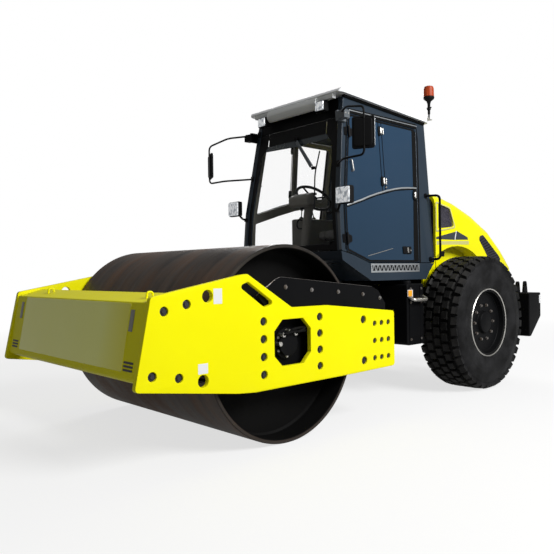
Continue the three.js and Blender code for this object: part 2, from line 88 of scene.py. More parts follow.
def soft_lamp(name, place, target, size, watts):
    lamp = bpy.data.objects.new(name, bpy.data.lights.new(name, "AREA"))
    lamp.data.shape = "DISK"
    lamp.data.size = size
    lamp.data.energy = watts
    lamp.location = place
    lamp.rotation_euler = (Vector(target) - Vector(place)).to_track_quat("-Z", "Y").to_euler()
    scene.collection.objects.link(lamp)


soft_lamp("key_lamp", (-0.6, 9.5, 7.0), (0, 0, 1.2), 5.0, 1330)
soft_lamp("back_lamp", (-7.0, -7.0, 5.5), (0, 0, 1.2), 5.0, 520)


class Wire:
    """One output in a shader tree. Arithmetic on it adds Math nodes."""

    def __init__(self, shading, socket):
        self.shading = shading
        self.socket = socket

    def math(self, operation, *values, clamp=False):
        settings = {"operation": operation, "use_clamp": clamp}
        return self.shading.node("ShaderNodeMath", settings, dict(enumerate(values)))

    def __add__(self, other):
        return self.math("ADD", self, other)

    def __sub__(self, other):
        return self.math("SUBTRACT", self, other)

    def __rsub__(self, other):
        return self.math("SUBTRACT", other, self)

    def __mul__(self, other):
        return self.math("MULTIPLY", self, other)

    __radd__ = __add__
    __rmul__ = __mul__

    def clipped(self):
        return self.math("ADD", self, 0.0, clamp=True)

    def over(self, edge, blur):
        """0 well below the edge and 1 well above it."""
        return self.math("MULTIPLY", self - (edge - blur / 2), 1 / blur, clamp=True)


class Shading:
    """A shader tree that nodes are added to."""

    def __init__(self, tree):
        self.tree = tree

    def node(self, kind, settings=None, inputs=None, output=0):
        made = self.tree.nodes.new(kind)
        for name, value in (settings or {}).items():
            setattr(made, name, value)
        for name, value in (inputs or {}).items():
            self.feed(made.inputs[name], value)
        return Wire(self, made.outputs[output])

    def feed(self, socket, value):
        if isinstance(value, Wire):
            self.tree.links.new(value.socket, socket)
        else:
            socket.default_value = value

    def rays(self, **shares):
        """A share for each named kind of ray, such as camera=1 for what the camera sees directly."""
        total = 0.0
        for ray, share in shares.items():
            total = self.node("ShaderNodeLightPath", output=f"Is {ray.title()} Ray") * share + total
        return total.clipped()


class Finish(Shading):
    """A procedural material for one kind of surface. Patterns lie on Object coordinates, in metres.

    Its slot is kept as the name of the part's material slot for a piece in this finish, where that has
    another name.
    """

    def __init__(self, name, roughness=0.5, metallic=0.0, slot=None, **fixed):
        self.slot = slot or name
        self.material = bpy.data.materials.new(name)
        self.material.use_nodes = True
        super().__init__(self.material.node_tree)
        self.shader = self.tree.nodes["Principled BSDF"]
        self.set("Roughness", roughness)
        self.set("Metallic", metallic)
        for socket, value in fixed.items():
            self.set(socket.replace("_", " ").title().replace("Ior", "IOR"), value)

    def set(self, socket, value):
        self.feed(self.shader.inputs[socket], value)

    def place(self, stretch=(1, 1, 1), turn=(0, 0, 0), centre=(0, 0, 0)):
        where = self.node("ShaderNodeTexCoord", output="Object")
        back = self.node("ShaderNodeMapping", {}, {0: where, "Location": [-value for value in centre]})
        return self.node("ShaderNodeMapping", {}, {0: back, "Rotation": turn, "Scale": stretch})

    def axis(self, letter, where=None):
        where = where or self.place()
        return self.node("ShaderNodeSeparateXYZ", {}, {0: where}, "XYZ".index(letter))

    def noise(self, scale, detail=3.0, stretch=(1, 1, 1), where=None):
        where = where or self.place(stretch)
        values = {"Vector": where, "Scale": scale, "Detail": detail, "Roughness": 0.55}
        return self.node("ShaderNodeTexNoise", {}, values, "Fac")

    def upward(self):
        normal = self.node("ShaderNodeNewGeometry", output="Normal")
        return self.node("ShaderNodeSeparateXYZ", {}, {0: normal}, 2)

    def blend(self, factor, first, second):
        def full(colour):
            return colour if isinstance(colour, Wire) else (*colour, 1)
        values = {0: factor, 6: full(first), 7: full(second)}
        return self.node("ShaderNodeMix", {"data_type": "RGBA"}, values, 2)

    def bump(self, height, distance, strength=1.0):
        values = {"Height": height, "Distance": distance, "Strength": strength}
        self.set("Normal", self.node("ShaderNodeBump", {}, values))


FLOOR_HALF = 60.0
floor_mesh = bpy.data.meshes.new("floor")
corners = [(-FLOOR_HALF, -FLOOR_HALF, 0), (FLOOR_HALF, -FLOOR_HALF, 0), (FLOOR_HALF, FLOOR_HALF, 0),
           (-FLOOR_HALF, FLOOR_HALF, 0)]
floor_mesh.from_pydata(corners, [], [(0, 1, 2, 3)])
floor = bpy.data.objects.new("floor", floor_mesh)
scene.collection.objects.link(floor)
pale = Finish("pale_floor", roughness=0.9, specular_ior_level=0.1)
seen = pale.rays(camera=1, transmission=1, glossy=0.4)
pale.set("Base Color", pale.blend(seen, (0.3, 0.3, 0.3), (0.93, 0.93, 0.93)))
glow = pale.node("ShaderNodeEmission", inputs={"Color": (1, 1, 1, 1), "Strength": 1.0})
distance = pale.node("ShaderNodeVectorMath", {"operation": "LENGTH"}, {0: pale.place()}, "Value")
beyond = distance.over(8.0, 6.0)
share = seen * (beyond * 0.3 + 0.7)
lit = Wire(pale, pale.shader.outputs[0])
floor_face = pale.node("ShaderNodeMixShader", inputs={0: share, 1: lit, 2: glow})
pale.feed(pale.tree.nodes["Material Output"].inputs["Surface"], floor_face)
floor_mesh.materials.append(pale.material)

world = bpy.data.worlds.new("studio")
world.use_nodes = True
scene.world = world
studio = Shading(world.node_tree)
brightness = studio.rays(camera=1, transmission=1, glossy=0.12) + 0.18
air = world.node_tree.nodes["Background"]
studio.feed(air.inputs["Strength"], brightness.math("MINIMUM", brightness, 1.0))
air.inputs["Color"].default_value = (1, 1, 1, 1)

# Drum frame side plates. Two 40 mm steel plates, flame cut and painted yellow, that carry the drum between
# them. Each has a service window, a slot for the cover, and holes with the sunk heads of its bolts.

def inset(corners, distance):
    """The same [u, v, radius] corners on an outline drawn in by a distance, or out by a negative one."""
    flat = [Vector(corner[:2]) for corner in corners]
    area = sum(flat[i - 1].cross(flat[i]) for i in range(len(flat)))
    moved = turned_left(flat, distance if area > 0 else -distance)
    return [(*point, *corner[2:]) for point, corner in zip(moved, corners)]


def turned_left(ring, distance):
    """A ring of [u, v] points moved sideways, to the left of the way round."""
    moved = []
    for i, point in enumerate(ring):
        point = Vector(point)
        before = (point - Vector(ring[i - 1])).normalized()
        after = (Vector(ring[(i + 1) % len(ring)]) - point).normalized()
        first = Vector((-before.y, before.x))
        second = Vector((-after.y, after.x))
        moved.append(point + (first + second) * distance / max(0.3, 1 + first.dot(second)))
    return moved


def rounded(corners, steps=6):
    """A counter-clockwise ring through [u, v, radius] corners, with an arc at each that has a radius."""
    ring = []
    for i, (u, v, *radius) in enumerate(corners):
        corner = Vector((u, v))
        if not radius or radius[0] == 0:
            ring.append(corner)
            continue
        before = (Vector(corners[i - 1][:2]) - corner).normalized()
        after = (Vector(corners[(i + 1) % len(corners)][:2]) - corner).normalized()
        half = before.angle(after) / 2
        centre = corner + (before + after).normalized() * radius[0] / math.sin(half)
        start = corner + before * radius[0] / math.tan(half) - centre
        sweep = (math.pi - 2 * half) * (1 if before.cross(after) < 0 else -1)
        ring += [centre + Matrix.Rotation(sweep * step / steps, 2) @ start for step in range(steps + 1)]
    area = sum(ring[i - 1].cross(ring[i]) for i in range(len(ring)))
    return ring if area > 0 else ring[::-1]


def oblong(left, right, low, high, radius=0.0):
    """The corners of a rectangle, for a plate."""
    return [(left, low, radius), (right, low, radius), (right, high, radius), (left, high, radius)]


def circle(u, v, radius, count=24):
    turn = 2 * math.pi / count
    return [(u + radius * math.cos(turn * i), v + radius * math.sin(turn * i)) for i in range(count)]


def facing_y(u, v, depth):
    return Vector((u, depth, v))


def facing_x(u, v, depth):
    return Vector((depth, u, v))


def shaded(data, crease):
    """Smooth shading that keeps broad faces flat and edges over the crease angle sharp."""
    loose = bmesh.new()
    loose.from_mesh(data)
    for face in loose.faces:
        face.smooth = True
    for edge in loose.edges:
        edge.smooth = edge.calc_face_angle(0) < math.radians(crease)
    loose.to_mesh(data)
    loose.free()
    holder = bpy.data.objects.new("holder", data)
    scene.collection.objects.link(holder)
    weigh = holder.modifiers.new("weigh", "WEIGHTED_NORMAL")
    weigh.keep_sharp = True
    return plain_copy(holder)


def plain_copy(holder):
    """The mesh that an object's modifiers make; the object itself goes."""
    evaluated = holder.evaluated_get(bpy.context.evaluated_depsgraph_get())
    data = bpy.data.meshes.new_from_object(evaluated)
    bpy.data.objects.remove(holder)
    return data


def settle(name, data, finish, body, slot, replaced=()):
    """Makes the finished piece of a mesh: it rides on its body and stands for the CAD nodes it replaces."""
    piece = bpy.data.objects.new(name, data)
    scene.collection.objects.link(piece)
    if finish:
        data.materials.clear()
        data.materials.append(finish.material)
    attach(piece, body)
    if replaced:
        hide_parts(*replaced)
    return piece


class Build:
    """Closed shapes that make up one piece. Lengths along X are measured from the drum axle."""

    def __init__(self):
        self.mesh = bmesh.new()

    def block(self, low, high, edge=0.002, turn=Matrix()):
        low, high = Vector(low), Vector(high)
        place = Matrix.Translation((low + high) / 2) @ turn @ Matrix.Diagonal((*(high - low), 1))
        made = bmesh.ops.create_cube(self.mesh, size=1, matrix=place)
        edges = list({line for corner in made["verts"] for line in corner.link_edges})
        if edge:
            bmesh.ops.bevel(self.mesh, geom=edges, offset=edge, segments=2, affect="EDGES", profile=0.6)
        return self

    def shell(self, rings, wrap=False):
        """A skin from ring to ring, closed by a face on the first and the last, or wrapped round."""
        rows = [[self.mesh.verts.new(point) for point in ring] for ring in rings]
        pairs = list(zip(rows, rows[1:])) + ([(rows[-1], rows[0])] if wrap else [])
        for lower, upper in pairs:
            for i in range(len(lower)):
                self.mesh.faces.new((lower[i - 1], lower[i], upper[i], upper[i - 1]))
        if not wrap:
            self.mesh.faces.new(rows[0])
            self.mesh.faces.new(rows[-1])
        return self

    def plate(self, corners, low, high, holes=(), edge=0.002, lay=facing_y):
        """A flat plate with an outline, holes and chamfered edges, from low to high along its thickness."""
        outlines = [(rounded(corners), edge)] + [(rounded(hole), -edge) for hole in holes]
        caps = ([], [])
        for ring, draw_in in outlines:
            inner = turned_left(ring, draw_in) if edge else ring
            levels = [(inner, low), (ring, low + edge), (ring, high - edge), (inner, high)]
            rows = [[self.mesh.verts.new(lay(*point, depth)) for point in row] for row, depth in levels]
            for lower, upper in zip(rows, rows[1:]):
                for i in range(len(lower)):
                    self.mesh.faces.new((lower[i - 1], lower[i], upper[i], upper[i - 1]))
            caps[0].append(rows[0])
            caps[1].append(rows[-1])
        for cap in caps:
            flat = [corner for row in cap for corner in row]
            for triangle in geometry.tessellate_polygon([[corner.co for corner in row] for row in cap]):
                self.mesh.faces.new([flat[i] for i in triangle])
        return self

    def lathe(self, profile, centre=(0, 0, 0), axis="Y", segments=48):
        """A solid turned from [radius, distance along] points, or a ring if they start off the axis."""
        centre = Vector(centre)
        rings = []
        for step in range(segments):
            angle = 2 * math.pi * step / segments
            c, s = math.cos(angle), math.sin(angle)
            spin = {"Y": lambda r, d: (r * c, d, r * s), "X": lambda r, d: (d, r * c, r * s), "Z": lambda r,
                    d: (r * c, r * s, d)}[axis]
            rings.append([centre + Vector(spin(radius, along)) for radius, along in profile])
        off_axis = profile[0][0] > 0
        return self.shell(rings if off_axis else list(zip(*rings)), wrap=off_axis)

    def rod(self, start, end, radius, sides=16, edge=0.001):
        """A round bar with chamfered ends."""
        start, end = Vector(start), Vector(end)
        way = (end - start).normalized()
        frame_of = way.to_track_quat("Z", "Y").to_matrix()
        ends = [(start, radius - edge), (start + way * edge, radius), (end - way * edge, radius),
                (end, radius - edge)]
        return self.shell([[middle + frame_of @ Vector((*point, 0)) for point in circle(0, 0, size, sides)]
                           for middle, size in ends])

    def pipe(self, points, radius, sides=12, bend=0.0, steps=6):
        """A round tube or bar along a path, with its corners bent to a radius."""
        points = [Vector(point) for point in points]
        route = [points[0]]
        for before, corner, after in zip(points, points[1:], points[2:]):
            reach = min(bend, (before - corner).length * 0.48, (after - corner).length * 0.48)
            start = corner + (before - corner).normalized() * reach
            end = corner + (after - corner).normalized() * reach
            for step in range(steps + 1):
                share = step / steps
                route.append(start * (1 - share) ** 2 + corner * 2 * share * (1 - share) + end * share ** 2)
        route.append(points[-1])
        ways = [(b - a).normalized() for a, b in zip(route, route[1:]) if (b - a).length > 1e-6]
        route = [route[0]] + [b for a, b in zip(route, route[1:]) if (b - a).length > 1e-6]
        side = ways[0].orthogonal().normalized()
        rings = []
        for i, middle in enumerate(route):
            way = (ways[max(i - 1, 0)] + ways[min(i, len(ways) - 1)]).normalized()
            side = (side - way * side.dot(way)).normalized()
            other = way.cross(side)
            rings.append([middle + side * u + other * v for u, v in circle(0, 0, radius, sides)])
        return self.shell(rings)

    def piece(self, name, finish, body, *replaced, slot=None, crease=50):
        bmesh.ops.remove_doubles(self.mesh, verts=self.mesh.verts, dist=1e-5)
        bmesh.ops.recalc_face_normals(self.mesh, faces=self.mesh.faces)
        bmesh.ops.translate(self.mesh, verts=self.mesh.verts, vec=(DRUM_AXLE, 0, 0))
        data = bpy.data.meshes.new(name)
        self.mesh.to_mesh(data)
        self.mesh.free()
        return settle(name, shaded(data, crease), finish, body, slot or finish.slot, replaced)


class Growth:
    """A Geometry Nodes tree that repeats a shape, with a named input for each of its sizes."""

    def __init__(self, name, **sizes):
        self.tree = bpy.data.node_groups.new(name, "GeometryNodeTree")
        new_socket = self.tree.interface.new_socket
        new_socket("Geometry", in_out="INPUT", socket_type="NodeSocketGeometry")
        for size, value in sizes.items():
            kind = "NodeSocketInt" if isinstance(value, int) else "NodeSocketFloat"
            new_socket(size, in_out="INPUT", socket_type=kind).default_value = value
        new_socket("Finish", in_out="INPUT", socket_type="NodeSocketMaterial")
        new_socket("Geometry", in_out="OUTPUT", socket_type="NodeSocketGeometry")
        self.given = self.tree.nodes.new("NodeGroupInput").outputs
        self.result = self.tree.nodes.new("NodeGroupOutput").inputs[0]

    def node(self, kind, settings=None, inputs=None, output=0):
        made = self.tree.nodes.new(kind)
        for name, value in (settings or {}).items():
            setattr(made, name, value)
        for name, value in (inputs or {}).items():
            if isinstance(value, bpy.types.NodeSocket):
                self.tree.links.new(value, made.inputs[name])
            else:
                made.inputs[name].default_value = value
        return made.outputs[output]

    def sum(self, operation, first, second):
        return self.node("ShaderNodeMath", {"operation": operation}, {0: first, 1: second})

    def end(self, shape):
        real = self.node("GeometryNodeRealizeInstances", {}, {0: shape})
        coated = self.node("GeometryNodeSetMaterial", {},
                           {"Geometry": real, "Material": self.given["Finish"]})
        self.tree.links.new(coated, self.result)

    def run(self, points, facings, finish, lines=(), **sizes):
        """The tree's result on points, which have facing vectors, or on a mesh of lines, as a plain mesh."""
        data = bpy.data.meshes.new("seed")
        data.from_pydata([Vector(point) + Vector((DRUM_AXLE, 0, 0)) for point in points], lines, [])
        facing = data.attributes.new("facing", "FLOAT_VECTOR", "POINT")
        facing.data.foreach_set("vector", [value for vector in facings for value in vector])
        seed = bpy.data.objects.new("seed", data)
        scene.collection.objects.link(seed)
        grow = seed.modifiers.new("grow", "NODES")
        grow.node_group = self.tree
        for item in self.tree.interface.items_tree:
            if item.in_out == "INPUT" and item.name in sizes:
                grow[item.identifier] = sizes[item.name]
            elif item.in_out == "INPUT" and item.name == "Finish":
                grow[item.identifier] = finish.material
        return plain_copy(seed)


bolting = Growth("bolting", head=0.03, rise=0.014, washer=0.044)
hexagon = bolting.node("GeometryNodeMeshCylinder", {"fill_type": "NGON"},
                       {"Vertices": 6, "Radius": bolting.sum("DIVIDE", bolting.given["head"], 1.8),
                        "Depth": bolting.given["rise"]})
ring_height = bolting.sum("MULTIPLY", bolting.given["rise"], 0.28)
ring = bolting.node("GeometryNodeMeshCylinder", {"fill_type": "NGON"},
                    {"Vertices": 20, "Radius": bolting.sum("MULTIPLY", bolting.given["washer"], 0.5),
                     "Depth": ring_height})
lift = bolting.node("ShaderNodeCombineXYZ", {}, {2: bolting.sum("MULTIPLY", bolting.given["rise"], 0.5)})
ring_lift = bolting.node("ShaderNodeCombineXYZ", {}, {2: bolting.sum("MULTIPLY", ring_height, 0.5)})
raised = bolting.node("GeometryNodeTransform", {}, {"Geometry": hexagon, "Translation": lift})
seated = bolting.node("GeometryNodeTransform", {}, {"Geometry": ring, "Translation": ring_lift})
joined = bolting.tree.nodes.new("GeometryNodeJoinGeometry")
bolting.tree.links.new(raised, joined.inputs[0])
bolting.tree.links.new(seated, joined.inputs[0])
facing = bolting.node("GeometryNodeInputNamedAttribute", {"data_type": "FLOAT_VECTOR"}, {"Name": "facing"})
turn = bolting.node("FunctionNodeAlignRotationToVector", {"axis": "Z"}, {"Vector": facing})
bolting.end(bolting.node("GeometryNodeInstanceOnPoints", {},
                         {"Points": bolting.given["Geometry"], "Instance": joined.outputs[0],
                          "Rotation": turn}))


def bolts(name, places, facing, finish, body, head=0.03, rise=0.014, washer=0.044, slot=None):
    """Bolt heads on washers at several places, all facing one way or each its own way."""
    facings = facing if isinstance(facing[0], (tuple, Vector)) else [facing] * len(places)
    data = bolting.run(places, facings, finish, head=head, rise=rise, washer=washer)
    return settle(name, shaded(data, 40), None, body, slot or finish.slot)


def paint(name, colour, worn, roughness=0.38, coat=0.04, dust=0.12, gloss=0.1, slot=None):
    """Sprayed enamel: two close shades, a fine orange peel, and dust low down and on what faces up."""
    made = Finish(name, slot=slot, coat_roughness=0.12, specular_ior_level=gloss)
    cloud = made.noise(1.7, 4)
    grain = made.noise(38, 3)
    low = (0.9 - made.axis("Z")).math("MULTIPLY", 0.9 - made.axis("Z"), 1.3, clamp=True)
    settled = (low * 0.6 + made.upward().clipped() * 0.5) * made.noise(5, 5).over(0.5, 0.35)
    shade = made.blend(cloud.over(0.5, 0.4), colour, worn)
    made.set("Base Color", made.blend((settled * dust).clipped(), shade, (0.33, 0.29, 0.22)))
    made.set("Roughness", grain * 0.12 + settled * 0.15 + (roughness - 0.06))
    made.set("Coat Weight", (coat - settled * 0.2).clipped())
    made.bump(made.noise(420, 1), 0.0003, 0.35)
    return made


yellow = paint("frame_yellow", (0.93, 0.88, 0.0), (0.9, 0.84, 0.0), dust=0.05)
blackened = Finish("blackened_bolts", metallic=0.55, slot="frame_black")
bolt_grain = blackened.noise(160, 3)
blackened.set("Base Color", blackened.blend(bolt_grain, (0.02, 0.02, 0.024), (0.055, 0.055, 0.062)))
blackened.set("Roughness", bolt_grain * 0.2 + 0.38)

PLATE_INNER, PLATE_OUTER = 1.092, 1.132
PLATE_OUTLINE = [(1.224, 1.154, 0.03), (1.345, 0.575, 0.025), (0.54, 0.457, 0.06), (0.376, 0.443),
                 (-0.7, 0.448), (-1.245, 0.457, 0.03), (-1.241, 0.942, 0.025), (-0.382, 1.03),
                 (0.011, 1.032, 0.06), (0.442, 1.289, 0.03), (0.507, 1.282, 0.02)]
SERVICE_WINDOW = [(-0.184, 0.68, 0.01), (-0.184, 0.864, 0.01), (-0.103, 0.945, 0.01), (0.112, 0.945, 0.01),
                  (0.193, 0.864, 0.01), (0.193, 0.68, 0.01), (0.112, 0.599, 0.01), (-0.103, 0.599, 0.01)]
COVER_SLOT = [(0.522, 1.204, 0.02), (0.288, 1.046, 0.008), (0.183, 1.071, 0.02), (0.436, 1.233, 0.02)]
OPEN_HOLES = [(0.79, 1.144), (0.834, 0.582)]
BEAM_BOLTS = [(1.128, 1.06), (0.957, 1.097), (1.22, 0.658), (1.023, 0.625)]
BUFFER_BOLTS = [(x, 0.558 + step * 0.1284) for x in (-0.289, 0.296) for step in range(4)]
REAR_BOLTS = [(-0.82, 0.888), (-0.828, 0.542)]
BEARING_BOLTS = [(-0.969 - column * 0.0944, 0.548 + row * 0.1486) for column in range(3) for row in range(3)]
sunk = [(place, 0.031) for place in BEAM_BOLTS + BUFFER_BOLTS] + [(place, 0.034) for place in REAR_BOLTS]
sunk += [(place, 0.024) for place in BEARING_BOLTS]

SIDES = (("left", 1), ("right", -1))


def between(side, inner, outer):
    """The low and high Y of a slab that lies between two distances from the middle, on one side."""
    return (inner, outer) if side > 0 else (-outer, -inner)


for name, side in SIDES:
    holes = [SERVICE_WINDOW, COVER_SLOT] + [circle(*place, 0.043) for place in OPEN_HOLES]
    holes += [circle(*place, radius) for place, radius in sunk]
    plate = Build().plate(PLATE_OUTLINE, *between(side, PLATE_INNER, PLATE_OUTER), holes, edge=0.003)
    plate.piece(f"side_plate_{name}", yellow, "drum_frame", f"side_plate_{name}")
    plugs = Build()
    for (x, z), radius in sunk:
        plugs.plate(circle(x, z, radius - 0.0012), *between(side, PLATE_INNER + 0.004, PLATE_INNER + 0.026))
    plugs.piece(f"sunk_washers_{name}", blackened, "drum_frame")
    heads = [(x, side * (PLATE_INNER + 0.026), z) for (x, z), radius in sunk]
    bolts(f"sunk_bolts_{name}", heads, (0, side, 0), blackened, "drum_frame", head=0.026, rise=0.009,
          washer=0.036)

# Front beam. A folded and welded box section between the plates, yellow, with a flat front panel, three
# short slots in each lower corner, and tie-down eyes of bent bar on its sloping top.

def dressed(node, finish, edge=0.004, crease=50, slot=None):
    """A node's own shape with its edges rounded."""
    loose = bmesh.new()
    loose.from_mesh(frame["nodes"][node].data)
    bmesh.ops.remove_doubles(loose, verts=loose.verts, dist=1e-5)
    bmesh.ops.dissolve_limit(loose, angle_limit=math.radians(1), verts=loose.verts, edges=loose.edges)
    data = bpy.data.meshes.new(node)
    loose.to_mesh(data)
    loose.free()
    holder = bpy.data.objects.new("holder", data)
    scene.collection.objects.link(holder)
    rounding = holder.modifiers.new("rounding", "BEVEL")
    rounding.width = edge
    rounding.segments = 2
    rounding.angle_limit = math.radians(35)
    body = frame["nodes"][node]["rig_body"]
    data = shaded(plain_copy(holder), crease)
    return settle(f"{node}_finished", data, finish, body, slot or finish.slot, [node])


BEAM_HALF = 1.09
BEAM_TOP, BEAM_FOOT = Vector((1.226, 0, 1.12)), Vector((1.316, 0, 0.632))
beam_down = (BEAM_FOOT - BEAM_TOP).normalized()
beam_out = Vector((-beam_down.z, 0, beam_down.x))


def on_beam(u, v, depth):
    """A point on the beam's sloping front: u along Y, v down from its top edge, depth out of it."""
    return BEAM_TOP + beam_down * v + beam_out * depth + Vector((0, u, 0))


dressed("front_beam", yellow, edge=0.01)
# The front panel is painted a paler, mottled yellow over most of its width, going back to plain yellow
# towards its +Y end: painted sheen, for the light that its gloss catches.
sheened_panel = Finish("panel_yellow", roughness=0.3, specular_ior_level=0.9, slot="frame_yellow")
painted_sheen_spread = 1 - sheened_panel.axis("Y").over(0.72, 0.34)
sheen = sheened_panel.noise(1.3, 3).over(0.5, 0.5) * painted_sheen_spread
sheened_panel.set("Base Color", sheened_panel.blend(painted_sheen_spread, (0.93, 0.88, 0.0),
                                    sheened_panel.blend(sheen, (0.96, 0.96, 0.05), (0.98, 1.0, 0.12))))
sheened_panel.set("Coat Weight", painted_sheen_spread * 0.8)
panel = Build().plate(oblong(-0.87, 0.905, 0.008, 0.45, 0.012), -0.004, 0.003, edge=0.0015, lay=on_beam)
panel.piece("beam_front_panel", sheened_panel, "drum_frame")
welds = Build()
for side in (-1, 1):
    end = side * (BEAM_HALF - 0.001)
    welds.pipe([on_beam(end, 0.0, 0.001), on_beam(end, 0.47, 0.001)], 0.006)
    welds.pipe([(1.02, end, 1.173), (1.2, end, 1.128)], 0.006)
welds.piece("beam_welds", yellow, "drum_frame")
# The slots are thin black plates laid on the face: painted shade for the openings.
slots = Build()
for side in (-1, 1):
    for row in range(3):
        left, right = sorted((side * 0.915, side * 1.035))
        top = 0.38 + row * 0.024
        slots.plate(oblong(left, right, top, top + 0.014, 0.006), -0.001, 0.0025, edge=0.0005, lay=on_beam)
slots.piece("beam_slots", blackened, "drum_frame")
eyes = Build()
for x, y in ((1.12, 0.95), (1.1, -0.68)):
    foot = 1.12 + (1.226 - x) * 0.25
    eyes.pipe([(x - 0.024, y, foot - 0.008), (x - 0.02, y, foot + 0.036), (x + 0.02, y, foot + 0.036),
               (x + 0.024, y, foot - 0.008)], 0.0075, bend=0.02)
eyes.piece("tie_down_eyes", yellow, "drum_frame")
reflector_grey = Finish("reflector_grey", roughness=0.25, slot="frame_black")
facets = reflector_grey.noise(300, 1)
reflector_grey.set("Base Color", reflector_grey.blend(facets, (0.2, 0.2, 0.17), (0.34, 0.34, 0.3)))
for side in (-1, 1):
    strip = Build().plate(oblong(side * 0.94 - 0.024, side * 0.94 + 0.024, 0.05, 0.19), -0.001, 0.004,
                          edge=0.001, lay=on_beam)
    strip.piece("beam_reflector_" + ("left" if side > 0 else "right"), reflector_grey, "drum_frame")

# Drum covers, rear beam and scrapers. Folded black plate bolted inside the side plates, a channel that ties
# them together behind the drum, and bars with steel blades that keep the drum clean.
black = paint("frame_black", (0.003, 0.0032, 0.0038), (0.0055, 0.0056, 0.0062), roughness=0.42, coat=0.0,
              dust=0.008, gloss=0.06)
bare_steel = Finish("bare_steel", metallic=0.85, slot="frame_black")
scale = bare_steel.noise(26, 5)
bare_steel.set("Base Color", bare_steel.blend(scale.over(0.55, 0.3), (0.3, 0.29, 0.28), (0.16, 0.12, 0.09)))
bare_steel.set("Roughness", scale * 0.3 + 0.28)
COVER_TOP = [(-1.16, 1.015), (-1.072, 1.121), (-0.996, 1.157), (0.082, 1.258), (0.134, 1.242), (0.318, 1.13)]
COVER_BOLTS = [(-1.09, 1.06), (-0.86, 1.1), (-0.55, 1.13), (-0.24, 1.155), (0.04, 1.185), (0.22, 1.11)]


def around(count, radius, first=0):
    """Evenly spaced places round a circle, as offsets from its centre."""
    angles = [math.radians(360 // count * step + first) for step in range(count)]
    return [(radius * math.cos(angle), radius * math.sin(angle)) for angle in angles]


for name, side in SIDES:
    dressed(f"drum_cover_{name}", black, edge=0.002)
    face = side * (PLATE_INNER - 0.0003)
    cover_edge = Build().pipe([(x, face - side * 0.012, z) for x, z in COVER_TOP], 0.006, bend=0.02)
    cover_edge.piece(f"cover_edge_{name}", bare_steel, "drum_frame")
    bolts(f"cover_bolts_{name}", [(x, face, z) for x, z in COVER_BOLTS], (0, side, 0), bare_steel,
          "drum_frame", head=0.022, rise=0.012, washer=0.034)
dressed("rear_beam", black, edge=0.005)
bolts("bearing_bolts", [(-1.3, y, 0.7 + z) for y, z in around(12, 0.125)], (-1, 0, 0), blackened,
      "drum_frame", head=0.022, rise=0.012, washer=0.03)
for name, way in (("front", 1), ("rear", -1)):
    dressed(f"scraper_{name}", black, edge=0.003)
    bolts(f"scraper_bolts_{name}", [(way * 0.84, y * 0.235, 0.578) for y in range(-4, 5)], (0, 0, 1),
          bare_steel, "drum_frame", head=0.02, rise=0.011, washer=0.03)

# Drum carriers. Each end of the drum turns in a black carrier plate that hangs on eight rubber buffers, with
# a hydraulic motor in the middle and the hoses that feed it through the service window.
rubber = Finish("black_rubber", specular_ior_level=0.06, slot="rubber")
fine = rubber.noise(140, 3)
rubber.set("Base Color", rubber.blend(fine, (0.0035, 0.0035, 0.0035), (0.008, 0.008, 0.008)))
rubber.set("Roughness", fine * 0.2 + 0.55)
rubber.bump(fine, 0.0006)
plated = Finish("plated_steel", metallic=0.95, slot="bright_metal")
haze = plated.noise(60, 4)
plated.set("Base Color", plated.blend(haze, (0.55, 0.53, 0.48), (0.7, 0.69, 0.66)))
plated.set("Roughness", haze * 0.25 + 0.2)
for name, side in SIDES:
    dressed(f"drum_carrier_{name}", black, edge=0.003)
    motor = Build()
    for reach, radius in ((1.052, 0.118), (1.064, 0.06)):
        turned = [(0, 1.02), (radius, 1.02), (radius, reach - 0.004), (radius - 0.004, reach), (0, reach)]
        motor.lathe([(size, side * along) for size, along in turned], (0, 0, 0.755))
    motor.piece(f"drum_motor_{name}", black, "drum_frame")
    fittings = Build()
    for x, z in ((-0.06, 0.83), (0.0, 0.85), (0.065, 0.825), (0.1, 0.76)):
        fittings.rod((x, side * 1.05, z), (x, side * 1.085, z), 0.013)
        fittings.rod((x, side * 1.085, z), (x, side * 1.1, z), 0.018, sides=6)
    fittings.piece(f"motor_fittings_{name}", plated, "drum_frame")
    bolts(f"motor_bolts_{name}", [(x, side * 1.052, 0.755 + z) for x, z in around(6, 0.098, first=30)],
          (0, side, 0), plated, "drum_frame", head=0.017, rise=0.01, washer=0.022)
    hoses = Build()
    for lead, (x, z) in enumerate(((-0.06, 0.83), (0.0, 0.85), (0.065, 0.825))):
        hoses.pipe([(x, side * 1.09, z), (x - 0.005, side * 1.108, z + 0.012),
                    (x - 0.06, side * 1.112, z + 0.02), (-0.2 - 0.02 * lead, side * 1.07, 0.9 - 0.03 * lead),
                    (-0.5, side * 1.05, 0.86 - 0.04 * lead), (-0.95, side * 1.03, 0.8 - 0.05 * lead),
                    (-1.12, side * 0.98, 0.78 - 0.05 * lead)], 0.011, bend=0.06)
    hoses.piece(f"motor_hoses_{name}", rubber, "drum_frame")

# Drum. A rolled and welded steel shell with a disc near each end, turned smooth outside. It is bare steel,
# brown with rust between bands that the ground has polished, with dark rims, and its inside is painted near
# black as painted shade.
drum_steel = Finish("drum_steel", specular_ior_level=0.12)
ground_in = drum_steel.noise(1.0, 5, stretch=(0.55, 9.0, 0.55))
bands = drum_steel.noise(1.0, 2, stretch=(0.05, 14.0, 0.05))
patches = drum_steel.noise(1.0, 6, stretch=(1.5, 4.2, 1.5))
specks = drum_steel.noise(55, 4)
from_middle = drum_steel.axis("Y").math("ABSOLUTE", drum_steel.axis("Y"))
from_axle = drum_steel.node("ShaderNodeVectorMath", {"operation": "LENGTH"},
                            {0: drum_steel.place((1, 0, 1), centre=(DRUM_AXLE, 0, DRUM_RADIUS))}, "Value")
